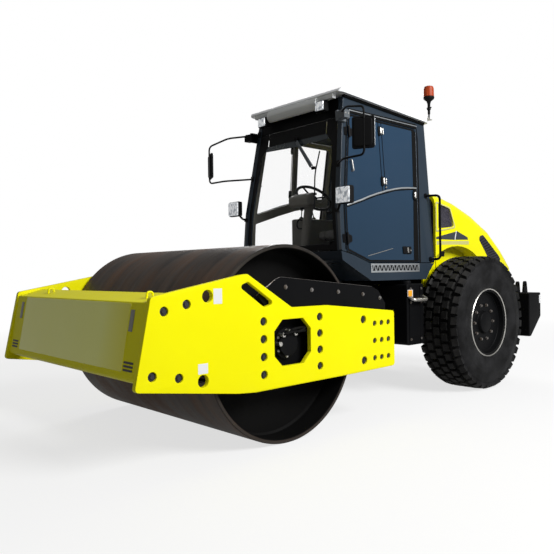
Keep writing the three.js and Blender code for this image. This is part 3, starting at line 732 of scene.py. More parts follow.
# Everything inside the outer skin is painted near black: painted shade in the hollow drum.
painted_shade_inside = 1 - from_axle.over(DRUM_RADIUS - 0.024, 0.008)
rim = from_middle.over(DRUM_HALF - 0.012, 0.012) * (1 - painted_shade_inside)
rust = (patches.over(0.54, 0.2) * 0.8 + specks.over(0.6, 0.2) * 0.3) * (1.15 - bands)
metal = drum_steel.blend((ground_in * 0.5 + patches * 0.5).over(0.5, 0.26), (0.022, 0.017, 0.014),
                         (0.14, 0.115, 0.098))
stained = drum_steel.blend(rust.clipped(), metal, (0.15, 0.075, 0.042))
rimmed = drum_steel.blend(rim * 0.8, stained, (0.035, 0.033, 0.03))
drum_steel.set("Base Color", drum_steel.blend(painted_shade_inside, rimmed, (0.002, 0.0019, 0.0018)))
drum_steel.set("Metallic", (0.6 - rust * 0.5 - painted_shade_inside * 0.6).clipped())
drum_steel.set("Roughness", (ground_in * 0.25 + rust * 0.3 + painted_shade_inside * 0.2 + 0.34).clipped())
drum_steel.bump(ground_in * 0.5 + specks * 0.25 + patches * 0.5, 0.0016, 0.6)

BORE = DRUM_RADIUS - 0.03
DISC_OUT, DISC_IN, HUB_HOLE = 0.85, 0.83, 0.13
profile = [(DRUM_RADIUS - 0.006, -DRUM_HALF), (DRUM_RADIUS, 0.006 - DRUM_HALF),
           (DRUM_RADIUS, DRUM_HALF - 0.006), (DRUM_RADIUS - 0.006, DRUM_HALF), (BORE + 0.006, DRUM_HALF),
           (BORE, DRUM_HALF - 0.006), (BORE, DISC_OUT + 0.016), (BORE - 0.016, DISC_OUT),
           (HUB_HOLE, DISC_OUT), (HUB_HOLE, DISC_IN), (BORE, DISC_IN), (BORE, -DISC_IN), (HUB_HOLE, -DISC_IN),
           (HUB_HOLE, -DISC_OUT), (BORE - 0.016, -DISC_OUT), (BORE, -DISC_OUT - 0.016),
           (BORE, 0.006 - DRUM_HALF), (BORE + 0.006, -DRUM_HALF)]
drum = Build().lathe(profile, (0, 0, DRUM_RADIUS), segments=160)
drum.piece("drum_shell_finished", drum_steel, "drum", "drum_shell", crease=40)
for name, side in SIDES:
    disc_bolts = [(x, side * DISC_OUT, 0.755 + z) for x, z in around(12, 0.2)]
    bolts(f"drum_disc_bolts_{name}", disc_bolts, (0, side, 0), bare_steel, "drum", head=0.024, rise=0.014,
          washer=0.036, slot="drum_steel")

# Centre joint and steering cylinders. A cast knuckle with a steering pin and an oscillation shaft, pushed
# round by two hydraulic cylinders with ground, chromed rods.
chrome = Finish("chromed_rod", roughness=0.08, metallic=1.0, slot="chrome")
chrome.set("Base Color", chrome.blend(chrome.noise(30), (0.82, 0.82, 0.82), (0.72, 0.72, 0.73)))
dressed("centre_joint", black, edge=0.004)
dressed("rear_yoke", black, edge=0.005)
bolts("yoke_bolts", [(-1.5 + x, y, 0.906) for x, y in around(6, 0.075)], (0, 0, 1), bare_steel,
      "rear_frame", head=0.017, rise=0.01, washer=0.024)
for name, side in SIDES:
    dressed(f"steering_barrel_{name}", black, edge=0.003)
    dressed(f"steering_rod_{name}", chrome, edge=0.002)
    foot, eye = Vector((-1.95, side * 0.3, 0.7)), Vector((-1.34, side * 0.2, 0.7))
    along = (eye - foot).normalized()
    gland = Build().rod(foot + along * 0.39, foot + along * 0.412, 0.04, sides=24, edge=0.003)
    gland.piece(f"cylinder_gland_{name}", plated, f"barrel_{name}")
    ports = Build()
    for reach in (0.07, 0.36):
        port = foot + along * reach
        ports.rod(port + Vector((0, 0, 0.03)), port + Vector((0, 0, 0.055)), 0.012, sides=16)
        ports.rod(port + Vector((0, 0, 0.055)), port + Vector((0, 0, 0.066)), 0.016, sides=6)
    ports.piece(f"cylinder_ports_{name}", plated, f"barrel_{name}")

# Rear frame. Two welded side rails and a cross wall, the drive axle, the engine, a platform for the cab, and
# on each side a tank with a tube step. All of it is steel painted black.
dressed("rear_chassis", black, edge=0.004)
dressed("rear_axle", black, edge=0.006)
dressed("cab_platform", black, edge=0.005)
engine_grey = paint("engine_grey", (0.05, 0.05, 0.052), (0.035, 0.035, 0.037), roughness=0.5, coat=0.0,
                    dust=0.4, slot="frame_black")
dressed("engine_block", engine_grey, edge=0.02)
for name, side in SIDES:
    bolts(f"axle_bolts_{name}", [(-2.98 + x, side * 0.7, 0.72 + z) for x, z in around(12, 0.15)],
          (0, side, 0), bare_steel, "rear_frame", head=0.02, rise=0.012, washer=0.028)
    dressed(f"tank_{name}", black, edge=0.012)
    wall = side * 0.8
    fitted = Build()
    for x in (-1.955, -2.135):
        low, high = between(side, 0.796, 0.806)
        fitted.block((x - 0.018, low, 0.56), (x + 0.018, high, 1.14), edge=0.002)
    low, high = between(side, 0.79, 0.805)
    fitted.plate(oblong(-2.118, -1.972, 0.62, 0.92, 0.02), low, high)
    fitted.lathe([(0, 1.15), (0.05, 1.15), (0.05, 1.185), (0.044, 1.19), (0, 1.19)], (-1.97, side * 0.74, 0),
                 axis="Z", segments=24)
    fitted.piece(f"tank_fittings_{name}", black, "rear_frame")
    bolts(f"tank_bolts_{name}", [(x, side * 0.806, z) for x in (-1.955, -2.135) for z in (0.6, 0.97, 1.11)],
          (0, side, 0), bare_steel, "rear_frame", head=0.016, rise=0.009, washer=0.026, slot="bright_metal")
    step = Build().pipe([(-1.93, wall + side * 0.0005, 1.028), (-1.935, side * 0.862, 1.0),
                         (-2.165, side * 0.862, 1.0), (-2.17, wall + side * 0.0005, 1.028)], 0.0155,
                        bend=0.05)
    step.piece(f"step_{name}_finished", plated, "rear_frame", f"step_{name}")
    grips = Build()
    for ridge in range(9):
        x = -1.965 - ridge * 0.021
        grips.lathe([(0.0145, x - 0.003), (0.0175, x - 0.0015), (0.0175, x + 0.0015), (0.0145, x + 0.003)],
                    (0, side * 0.862, 1.0), axis="X", segments=16)
    grips.piece(f"step_grips_{name}", plated, "rear_frame")

amber = Finish("amber_reflector", roughness=0.18, slot="beacon_orange")
prisms = amber.noise(260, 1)
amber.set("Base Color", amber.blend(prisms, (0.9, 0.32, 0.01), (1.0, 0.5, 0.03)))
white_paint = paint("white_paint", (0.82, 0.83, 0.84), (0.76, 0.77, 0.78), roughness=0.3, coat=0.4,
                    slot="roof_white")
pink = paint("faded_red", (0.72, 0.2, 0.26), (0.66, 0.3, 0.34), roughness=0.3, coat=0.3, dust=0.0,
             slot="roof_white")
for name, side in SIDES:
    plate = Build().plate(oblong(-1.985, -1.9, 1.03, 1.1), *between(side, 0.806, 0.81), edge=0.001)
    plate.piece(f"marker_plate_{name}", white_paint, "rear_frame")
    marker = Build().plate(oblong(-1.965, -1.905, 1.035, 1.095), *between(side, 0.81, 0.818), edge=0.003)
    marker.piece(f"side_marker_{name}", amber, "rear_frame")
    blanks = Build().plate(oblong(0.67, 0.742, 1.09, 1.194), *between(side, 1.1322, 1.1328), edge=0)
    blanks.plate(oblong(0.796, 0.876, 0.632, 0.7), *between(side, 1.1322, 1.1328), edge=0)
    blanks.plate(oblong(-1.112, -1.042, 0.962, 1.068), *between(side, 1.0898, 1.0904), edge=0)
    blanks.piece(f"blank_stickers_{name}", white_paint, "drum_frame")
    red_band = Build().plate(oblong(-1.11, -1.044, 0.99, 1.04), *between(side, 1.0904, 1.0908), edge=0)
    red_band.piece(f"red_sticker_band_{name}", pink, "drum_frame")

# Counterweight. A cast block across the tail, painted black, with two drilled lashing eyes that stand on its
# top near each side, small reflectors and tail lamps.
dressed("counterweight", black, edge=0.014)
lashings = Build()
reflectors = Build()
for side in (-1, 1):
    low, high = between(side, 0.87, 0.895)
    for x in (-4.06, -4.25):
        lashings.plate([(x - 0.055, 0.99), (x + 0.055, 0.99), (x + 0.028, 1.14, 0.025),
                        (x - 0.028, 1.14, 0.025)], low, high, [circle(x, 1.092, 0.021)], edge=0.003)
    low, high = between(side, 1.049, 1.054)
    reflectors.plate(oblong(-4.308, -4.272, 0.87, 0.97), low, high, edge=0.001)
    reflectors.plate(oblong(side * 0.92 - 0.06, side * 0.92 + 0.06, 0.86, 0.9), -4.324, -4.319, edge=0.001,
                     lay=facing_x)
lashings.piece("lashing_loops", black, "rear_frame")
reflectors.piece("tail_reflectors", white_paint, "rear_frame")
tail_lamps = Build()
for side in (-1, 1):
    tail_lamps.plate(oblong(side * 0.72 - 0.07, side * 0.72 + 0.07, 0.84, 0.92, 0.01), -4.326, -4.318,
                     edge=0.003, lay=facing_x)
red_lens = Finish("red_lens", roughness=0.15, slot="lamp_glass")
ribs = red_lens.node("ShaderNodeTexWave", {"bands_direction": "Y"},
                     {"Vector": red_lens.place(), "Scale": 60.0}, "Fac")
red_lens.set("Base Color", red_lens.blend(ribs, (0.35, 0.01, 0.008), (0.55, 0.02, 0.012)))
tail_lamps.piece("tail_lamps", red_lens, "rear_frame")

# Wheels. Wide traction tyres with rows of moulded lugs, on black dished rims with a bright lock ring, bolted
# to the axle's hubs.
TYRE_RADIUS, TYRE_AXLE = 0.72, -2.98
tyre_rubber = Finish("tyre_rubber", specular_ior_level=0.12, slot="tyre")
grit = tyre_rubber.noise(90, 4)
scuff = tyre_rubber.noise(4.5, 5)
from_axle = tyre_rubber.place((1, 0, 1), centre=(DRUM_AXLE + TYRE_AXLE, 0, TYRE_RADIUS))
reach = tyre_rubber.node("ShaderNodeVectorMath", {"operation": "LENGTH"}, {0: from_axle}, "Value")
tread_dust = reach.over(0.69, 0.04) * scuff.over(0.45, 0.4)
rings_moulded = tyre_rubber.node("ShaderNodeTexWave", {"wave_type": "RINGS", "rings_direction": "SPHERICAL"},
                                 {"Vector": from_axle, "Scale": 14.0}, "Fac")
dark = tyre_rubber.blend(grit, (0.0025, 0.0025, 0.0027), (0.006, 0.006, 0.0063))
grey = tyre_rubber.blend((scuff.over(0.52, 0.22) * 0.45).clipped(), dark, (0.032, 0.032, 0.034))
tyre_rubber.set("Base Color", tyre_rubber.blend((tread_dust * 0.6).clipped(), grey, (0.04, 0.038, 0.035)))
tyre_rubber.set("Roughness", (grit * 0.2 + scuff * 0.15 + 0.42).clipped())
tyre_rubber.bump(rings_moulded * 0.25 + grit * 0.4, 0.0015, 0.6)

lugging = Growth("lugging", length=0.1, width=0.1, rise=0.03, taper=0.82)
frustum = lugging.node("GeometryNodeMeshCone", {"fill_type": "NGON"},
                       {"Vertices": 4, "Radius Top": lugging.sum("MULTIPLY", lugging.given["taper"], 0.7071),
                        "Radius Bottom": 0.7071, "Depth": 1.0})
squared = lugging.node("GeometryNodeTransform", {}, {"Geometry": frustum, "Rotation": (0, 0, math.pi / 4)})
lug_size = lugging.node("ShaderNodeCombineXYZ", {}, {0: lugging.given["length"], 1: lugging.given["width"],
                                                     2: lugging.given["rise"]})
lug = lugging.node("GeometryNodeTransform", {}, {"Geometry": squared, "Scale": lug_size})
away = lugging.node("GeometryNodeInputNamedAttribute", {"data_type": "FLOAT_VECTOR"}, {"Name": "facing"})
stood = lugging.node("FunctionNodeAlignRotationToVector", {"axis": "Z"}, {"Vector": away})
squared_up = lugging.node("FunctionNodeAlignRotationToVector", {"axis": "Y", "pivot_axis": "Z"},
                          {"Rotation": stood, "Vector": (0.16, 1, 0)})
lugging.end(lugging.node("GeometryNodeInstanceOnPoints", {},
                         {"Points": lugging.given["Geometry"], "Instance": lug, "Rotation": squared_up}))

TYRE_PROFILE = [(0.357, 0.7), (0.357, 1.082), (0.385, 1.1), (0.42, 1.112), (0.47, 1.122), (0.53, 1.128),
                (0.545, 1.13), (0.552, 1.127), (0.6, 1.123), (0.65, 1.108), (0.67, 1.09), (0.68, 1.06),
                (0.684, 1.0), (0.686, 0.89), (0.684, 0.78), (0.68, 0.72), (0.67, 0.69), (0.65, 0.672),
                (0.6, 0.657), (0.545, 0.65), (0.47, 0.658), (0.42, 0.668), (0.385, 0.68)]
LUG_ROWS = 40
for name, side in SIDES:
    centre = (TYRE_AXLE, 0, TYRE_RADIUS)
    carcass = Build().lathe([(radius, side * y) for radius, y in TYRE_PROFILE], centre, segments=120)
    carcass.piece(f"tyre_{name}_finished", tyre_rubber, f"wheel_{name}", f"tyre_{name}")
    for group, (offsets, tilt, drop, length, width) in {
            "crown": ((0.8, 0.89, 0.98), 0.0, 0.0, 0.088, 0.076),
            "shoulder": ((0.707, 1.073), 0.42, 0.011, 0.084, 0.072)}.items():
        places, facings = [], []
        for column, y in enumerate(offsets):
            for row in range(LUG_ROWS):
                shift = 0.5 * (column % 2) if group == "crown" else 0.5
                angle = 2 * math.pi * (row + shift) / LUG_ROWS
                lean = tilt * (1 if y > 0.89 else -1)
                outward = Vector((math.cos(angle) * math.cos(lean), side * math.sin(lean),
                                  math.sin(angle) * math.cos(lean)))
                radial = Vector((math.cos(angle), 0, math.sin(angle)))
                places.append(Vector(centre) + radial * (0.679 - drop) + Vector((0, side * y, 0)))
                facings.append(outward)
        data = lugging.run(places, facings, tyre_rubber, length=length, width=width, rise=0.04)
        settle(f"tyre_{group}_lugs_{name}", data, None, f"wheel_{name}", "tyre")
    rim_profile = [(0, 0.9), (0.1, 0.9), (0.11, 0.985), (0.322, 1.0), (0.33, 0.696), (0.354, 0.696),
                   (0.356, 0.7), (0.356, 1.08), (0.352, 1.084), (0.334, 1.084), (0.33, 1.078), (0.324, 1.034),
                   (0.314, 1.026), (0.13, 1.02), (0.122, 1.026), (0.115, 1.05), (0.105, 1.06), (0.03, 1.065),
                   (0, 1.065)]
    rim_build = Build().lathe([(radius, side * y) for radius, y in rim_profile], centre, segments=96)
    rim_build.piece(f"rim_{name}_finished", black, f"wheel_{name}", f"rim_{name}")
    lock = Build().lathe([(0.356, side * 1.083), (0.366, side * 1.085), (0.369, side * 1.094),
                          (0.363, side * 1.1), (0.355, side * 1.096)], centre, segments=96)
    lock.piece(f"lock_ring_{name}", plated, f"wheel_{name}")
    nuts = [(TYRE_AXLE + x, side * 1.022, TYRE_RADIUS + z) for x, z in around(10, 0.19)]
    bolts(f"wheel_nuts_{name}", nuts, (0, side, 0), bare_steel, f"wheel_{name}", head=0.026, rise=0.02,
          washer=0.034, slot="bright_metal")
    valve = Build().rod((TYRE_AXLE + 0.27, side * 1.02, 0.8), (TYRE_AXLE + 0.29, side * 1.06, 0.81), 0.007)
    valve.piece(f"tyre_valve_{name}", plated, f"wheel_{name}")

# Cab shell. A welded frame of square posts on a pressed tub, painted slate, with headers over the front and
# rear windows. The sides lean in towards the roof.
CAB_HALF, CAB_SILL, CAB_LEAN = 0.72, 1.375, math.atan(0.078)
slate = paint("cab_paint", (0.02, 0.031, 0.045), (0.026, 0.039, 0.055), roughness=0.34, coat=0.3, dust=0.03)
for node in ("cab_tub", "cab_side_frame_left", "cab_side_frame_right", "cab_rear_header", "cab_rear_wall"):
    dressed(node, slate, edge=0.006)
# The front header is slate like the rest of the frame, but it takes black here as painted shade over its
# forward face, away from the lamps.
dressed("cab_front_header", black, edge=0.006)


def on_cab(side):
    """Lays u along X and v up a leaning side of the cab, with depth out of it."""
    def lay(u, v, depth):
        rise = v - CAB_SILL
        return Vector((u, side * (CAB_HALF + depth * math.cos(CAB_LEAN) - rise * math.sin(CAB_LEAN)),
                       CAB_SILL + depth * math.sin(CAB_LEAN) + rise * math.cos(CAB_LEAN)))
    return lay


def stroke(points, width):
    """The outline of a strip of one width along a line of [u, v] points."""
    points = [Vector(point) for point in points]
    left, right = [], []
    for i, point in enumerate(points):
        way = (points[min(i + 1, len(points) - 1)] - points[max(i - 1, 0)]).normalized()
        aside = Vector((-way.y, way.x)) * width / 2
        left.append(point + aside)
        right.append(point - aside)
    return right + left[::-1]


silver = Finish("brushed_aluminium", metallic=0.9, slot="bright_metal")
brushed = silver.noise(30, 3, stretch=(0.4, 1, 14))
silver.set("Base Color", silver.blend(brushed, (0.5, 0.53, 0.55), (0.66, 0.69, 0.71)))
silver.set("Roughness", brushed * 0.2 + 0.28)
# A pale grey for trim, also used as a painted highlight on the left lamp bracket.
pale_trim_and_highlight = paint("pale_trim_and_highlight", (0.1, 0.115, 0.13), (0.13, 0.145, 0.16), roughness=0.3, coat=0.4, dust=0.0,
                  slot="black_plastic")
for name, side in SIDES:
    lay = on_cab(side)
    seals = Build()
    seals.plate(stroke([(-1.262, 2.842), (-2.36, 2.85)], 0.016), 0.0, 0.006, edge=0.001, lay=lay)
    seals.plate(stroke([(-1.25, 2.812), (-1.4, 2.817), (-2.367, 2.817), (-2.367, 2.7), (-2.247, 1.374)],
                       0.02), -0.002, 0.005, edge=0.001, lay=lay)
    seals.plate(stroke([(-1.243, 2.81), (-1.105, 1.92), (-1.088, 1.5)], 0.01), -0.002, 0.004, edge=0.001,
                lay=lay)
    seals.piece(f"door_seals_{name}", rubber, "rear_frame")
    rail = Build().plate(stroke([(-1.27, 2.832), (-2.37, 2.836)], 0.008), 0.0, 0.01, edge=0.001, lay=lay)
    rail.piece(f"drip_rail_{name}", silver, "rear_frame")
    cladding = Build()
    front = [(-1.0365, 1.5), (-1.0475, 1.92), (-1.1995, 2.9)]
    for low, high in zip(front, front[1:]):
        ring = []
        for (u, v), depth in ((low, -0.004), (high, -0.004), (high, -0.034), (low, -0.034)):
            ring.append(lay(u + 0.0015, v, depth))
        back = [point - Vector((0.002, 0, 0)) for point in ring]
        cladding.shell([ring, back])
    cladding.piece(f"pillar_cladding_{name}", pale_trim_and_highlight, "rear_frame", slot="cab_paint")
    stub = Build().plate(oblong(-1.205, -1.085, 2.7, 2.8, 0.01), -0.01, 0.022, edge=0.004, lay=lay)
    stub.plate(oblong(-1.158, -1.085, 2.71, 2.79, 0.01), 0.018, 0.1, edge=0.004, lay=lay)
    stub.block(lay(-1.12, 2.72, 0.1) - Vector((0.038, 0.004, 0.01)),
               lay(-1.12, 2.72, 0.1) + Vector((0.038, 0.004, 0.06)))
    # The bracket is black; the left one takes the pale finish as a painted highlight, for the light that
    # falls on that side.
    stub.piece(f"lamp_bracket_{name}", pale_trim_and_highlight if side > 0 else black, "rear_frame", slot="cab_paint")
    bolts(f"lamp_bracket_bolts_{name}", [lay(u, 2.75, 0.1) for u in (-1.14, -1.1)], (0, side, 0.08), plated,
          "rear_frame", head=0.016, rise=0.009, washer=0.026)

# Cab step plates. A strip of bare aluminium along each sill, cut out between its two rails as a row of
# leaning bars.
sill_bars = Growth("sill_bars", length=0.09, width=0.012, thick=0.004)
bar_size = sill_bars.node("ShaderNodeCombineXYZ", {}, {0: sill_bars.given["width"],
                                                       1: sill_bars.given["length"],
                                                       2: sill_bars.given["thick"]})
cut_bar = sill_bars.node("GeometryNodeMeshCube", {}, {"Size": bar_size})
outwards = sill_bars.node("GeometryNodeInputNamedAttribute", {"data_type": "FLOAT_VECTOR"},
                          {"Name": "facing"})
upright_bar = sill_bars.node("FunctionNodeAlignRotationToVector", {"axis": "Y"}, {"Vector": outwards})
squared_bar = sill_bars.node("FunctionNodeAlignRotationToVector", {"axis": "Z", "pivot_axis": "Y"},
                             {"Rotation": upright_bar, "Vector": (0, 1, 0)})
sill_bars.end(sill_bars.node("GeometryNodeInstanceOnPoints", {},
                             {"Points": sill_bars.given["Geometry"], "Instance": cut_bar,
                              "Rotation": squared_bar}))
for name, side in SIDES:
    rails = Build()
    low, high = between(side, 0.7275, 0.7315)
    rails.plate(oblong(-2.222, -1.428, 1.279, 1.366), low, high,
                [[(-2.205, 1.296), (-1.445, 1.296), (-1.445, 1.349), (-2.205, 1.349)]], edge=0.001)
    rails.piece(f"sill_strip_{name}", silver, "rear_frame")
    back = Build().plate(oblong(-2.21, -1.44, 1.29, 1.355), *between(side, 0.722, 0.7272), edge=0.0005)
    back.piece(f"sill_backing_{name}", black, "rear_frame")
    places = [(-2.19 + step * 0.0305, side * 0.7295, 1.3225) for step in range(25)]
    leans = [(0.38 if step % 2 else -0.38, 0, 1) for step in range(25)]
    data = sill_bars.run(places, leans, silver, length=0.06, width=0.011, thick=0.003)
    settle(f"sill_bars_{name}", data, None, "rear_frame", "bright_metal")

# Roof. A moulded white shell on a black seal, drawn thick so that it is also the painted shadow under the
# shell's edge, with a grey visor over the windscreen that is notched round two work lamps, and an amber
# beacon on a stalk at its rear left corner.
white = paint("roof_white", (0.86, 0.87, 0.88), (0.83, 0.84, 0.86), roughness=0.25, coat=0.5, dust=0.03)
dressed("cab_roof", white, edge=0.012)
# The seal tube is partly the real rubber seal and partly painted shadow under the roof's edge.
seal_and_shadow = Build()
for side in (-1, 1):
    seal_and_shadow.pipe([(-1.2, side * 0.606, 2.957), (-1.7, side * 0.606, 2.927), (-2.5, side * 0.612, 2.878)],
                0.014)
seal_and_shadow.piece("roof_seal_and_shadow", rubber, "rear_frame")
visor_grey = paint("visor_grey", (0.84, 0.86, 0.86), (0.76, 0.78, 0.78), roughness=0.3, coat=0.4, dust=0.05,
                   slot="roof_white")
visor_profile = [(-1.097, 2.97), (-1.079, 2.925), (-1.082, 2.9), (-1.11, 2.864), (-1.135, 2.862),
                 (-1.15, 2.966)]
visor = Build()
visor.shell([[Vector((x, y, z)) for x, z in visor_profile] for y in (-0.348, 0.348)])
visor.block((-1.148, -0.56, 2.926), (-1.1, 0.56, 2.968), edge=0.006)
visor.piece("visor_shell", visor_grey, "rear_frame", "roof_visor")
# The lens also glows through its emission: painted light, for the reflectors behind the glass catching light,
# while the lamps are not lit.
lens = Finish("lamp_glass", roughness=0.12, coat_weight=0.6, emission_strength=0.45)
flutes = lens.node("ShaderNodeTexVoronoi", {"feature": "SMOOTH_F1"},
                   {"Vector": lens.place((1, 1, 0.6)), "Scale": 55.0}, "Distance")
fluted = lens.blend(flutes.over(0.5, 0.4), (0.9, 0.92, 0.94), (0.3, 0.33, 0.37))
lens.set("Base Color", fluted)
lens.set("Emission Color", fluted)
lens.set("Metallic", flutes * 0.35)
lens.bump(flutes, 0.003)
hard_plastic = Finish("black_plastic", specular_ior_level=0.09)
pebble = hard_plastic.noise(230, 3)
fade = hard_plastic.noise(3, 3)
hard_plastic.set("Base Color", hard_plastic.blend(fade, (0.004, 0.004, 0.0044), (0.009, 0.009, 0.0096)))
hard_plastic.set("Roughness", pebble * 0.25 + 0.33)
hard_plastic.bump(pebble, 0.0004)
for name, side in SIDES:
    low, high = between(side, 0.358, 0.478)
    case = Build().block((-1.138, low, 2.82), (-1.07, high, 2.922), edge=0.012)
    case.piece(f"roof_lamp_case_{name}", hard_plastic, "rear_frame")
    glass = Build().block((-1.076, low + 0.008, 2.829), (-1.0615, high - 0.008, 2.913), edge=0.007)
    glass.piece(f"roof_lamp_lens_{name}", lens, "rear_frame")
amber_lens = Finish("beacon_amber", roughness=0.4, specular_ior_level=0.2, slot="beacon_orange")
ribbing = amber_lens.node("ShaderNodeTexWave", {"bands_direction": "X"},
                          {"Vector": amber_lens.place(), "Scale": 28.0}, "Fac")
amber_lens.set("Base Color", amber_lens.blend(ribbing, (0.3, 0.035, 0.01), (0.5, 0.075, 0.017)))
BEACON = (-2.67, 0.57)
lamp = Build().lathe([(0, 3.212), (0.054, 3.212), (0.057, 3.218), (0.055, 3.3), (0.048, 3.322), (0.03, 3.329),
                      (0, 3.3295)], (*BEACON, 0), axis="Z", segments=40)
lamp.piece("beacon_lens", amber_lens, "rear_frame", "beacon")
stalk = Build().lathe([(0, 3.02), (0.014, 3.02), (0.016, 3.13), (0.024, 3.16), (0.055, 3.185), (0.061, 3.2),
                       (0.058, 3.212), (0, 3.212)], (*BEACON, 0), axis="Z", segments=32)
stalk.rod((*BEACON, 2.955), (*BEACON, 3.03), 0.009)
stalk.rod((-2.67, 0.545, 3.09), (-2.67, 0.6, 3.09), 0.008)
stalk.lathe([(0, 3.07), (0.022, 3.07), (0.022, 3.085), (0, 3.085)], (*BEACON, 0), axis="Z", segments=20)
stalk.piece("beacon_stalk", hard_plastic, "rear_frame")
mount = Build().block((-2.688, 0.542, 2.952), (-2.57, 0.598, 2.959), edge=0.001)
mount.block((-2.576, 0.545, 2.902), (-2.5685, 0.595, 2.956), edge=0.001)
mount.pipe([(-2.574, 0.555, 2.91), (-2.66, 0.555, 2.95), (-2.672, 0.56, 2.995)], 0.007, bend=0.02)
mount.pipe([(-2.6, 0.585, 2.958), (-2.63, 0.59, 2.985), (-2.66, 0.58, 2.958)], 0.006, bend=0.02)
mount.piece("beacon_bracket", plated, "rear_frame")

# Windows of the cab. Clear toughened glass, set in black rubber, with a printed black border on the
# windscreen and a parallel-arm wiper that hangs from the header.
clear = Finish("clear_glass", roughness=0.03, alpha=0.018)
streaks = clear.noise(6, 3, stretch=(1, 1, 0.3))
clear.set("Base Color", clear.blend(streaks, (0.6, 0.68, 0.68), (0.75, 0.8, 0.8)))
dressed("windscreen", clear, edge=0.0015)
dressed("rear_window", clear, edge=0.0015)
SCREEN = [(-1.0445, 1.49), (-1.0555, 1.92), (-1.1815, 2.76)]


def on_screen(u, v, depth):
    """Lays u along Y and v up the bent windscreen, with depth out of it."""
    low, high = SCREEN[:2] if v < SCREEN[1][1] else SCREEN[1:]
    share = (v - low[1]) / (high[1] - low[1])
    return Vector((low[0] + (high[0] - low[0]) * share + depth, u, v))


border = Build()
BEND = 1.92
for low, high, inner_low, inner_high in ((1.495, BEND, 1.55, BEND), (BEND, 2.755, BEND, 2.62)):
    half_low = CAB_HALF - 0.062 - math.tan(CAB_LEAN) * (low - CAB_SILL)
    half_high = CAB_HALF - 0.062 - math.tan(CAB_LEAN) * (high - CAB_SILL)
    for side in (-1, 1):
        corner = 0.09 if high > BEND else 0.03
        strip = [(side * half_low, low), (side * half_high, high), (side * (half_high - 0.04 - corner), high),
                 (side * (half_high - 0.04 - corner), inner_high),
                 (side * (half_high - 0.05), inner_high - corner), (side * (half_low - 0.045), inner_low)]
        if low < BEND and high == BEND:
            strip = [(side * half_low, low), (side * half_high, high), (side * (half_high - 0.045), high),
                     (side * (half_low - 0.045), inner_low + 0.03), (side * (half_low - 0.075), inner_low),
                     (side * (half_low - 0.075), low)]
        border.plate(strip, 0.0003, 0.0012, edge=0, lay=on_screen)
    if high > BEND:
        border.plate(oblong(0.14 - half_high, half_high - 0.14, inner_high, high), 0.0003, 0.0012, edge=0,
                     lay=on_screen)
    else:
        border.plate(oblong(0.075 - half_low, half_low - 0.075, low, inner_low), 0.0003, 0.0012, edge=0,
                     lay=on_screen)
border.piece("windscreen_border", hard_plastic, "rear_frame")
tint = Finish("sun_band", roughness=0.12, alpha=0.93, slot="cab_glass")
shading = tint.noise(5, 2)
tint.set("Base Color", tint.blend(shading, (0.022, 0.032, 0.04), (0.05, 0.07, 0.085)))
band = Build().plate([(-0.45, 2.57, 0.01), (0.0, 2.555), (0.45, 2.57, 0.01), (0.46, 2.625), (-0.46, 2.625)],
                     0.0003, 0.001, edge=0, lay=on_screen)
band.piece("windscreen_sun_band", tint, "rear_frame")
wiper = Build()
wiper.rod(on_screen(0.015, 2.64, 0.002), on_screen(0.015, 2.64, 0.045), 0.018)
for aside in (-0.014, 0.014):
    wiper.pipe([on_screen(0.015 + aside, 2.64, 0.036), on_screen(0.3 + aside, 2.3, 0.022)], 0.0055, sides=8)
wiper.block(on_screen(0.3, 2.3, 0.018) - Vector((0.006, 0.02, 0.014)),
            on_screen(0.3, 2.3, 0.018) + Vector((0.006, 0.03, 0.014)), edge=0.002)
wiper.pipe([on_screen(0.365, 2.46, 0.014), on_screen(0.33, 2.24, 0.016), on_screen(0.36, 1.9, 0.014)], 0.0065,
           sides=8, bend=0.06)
wiper.piece("wiper", hard_plastic, "rear_frame")
arm_cover = Build().plate(stroke([(0.05, 2.6), (0.29, 2.315)], 0.03), 0.034, 0.044, edge=0.001, lay=on_screen)
arm_cover.piece("wiper_arm_cover", pale_trim_and_highlight, "rear_frame")

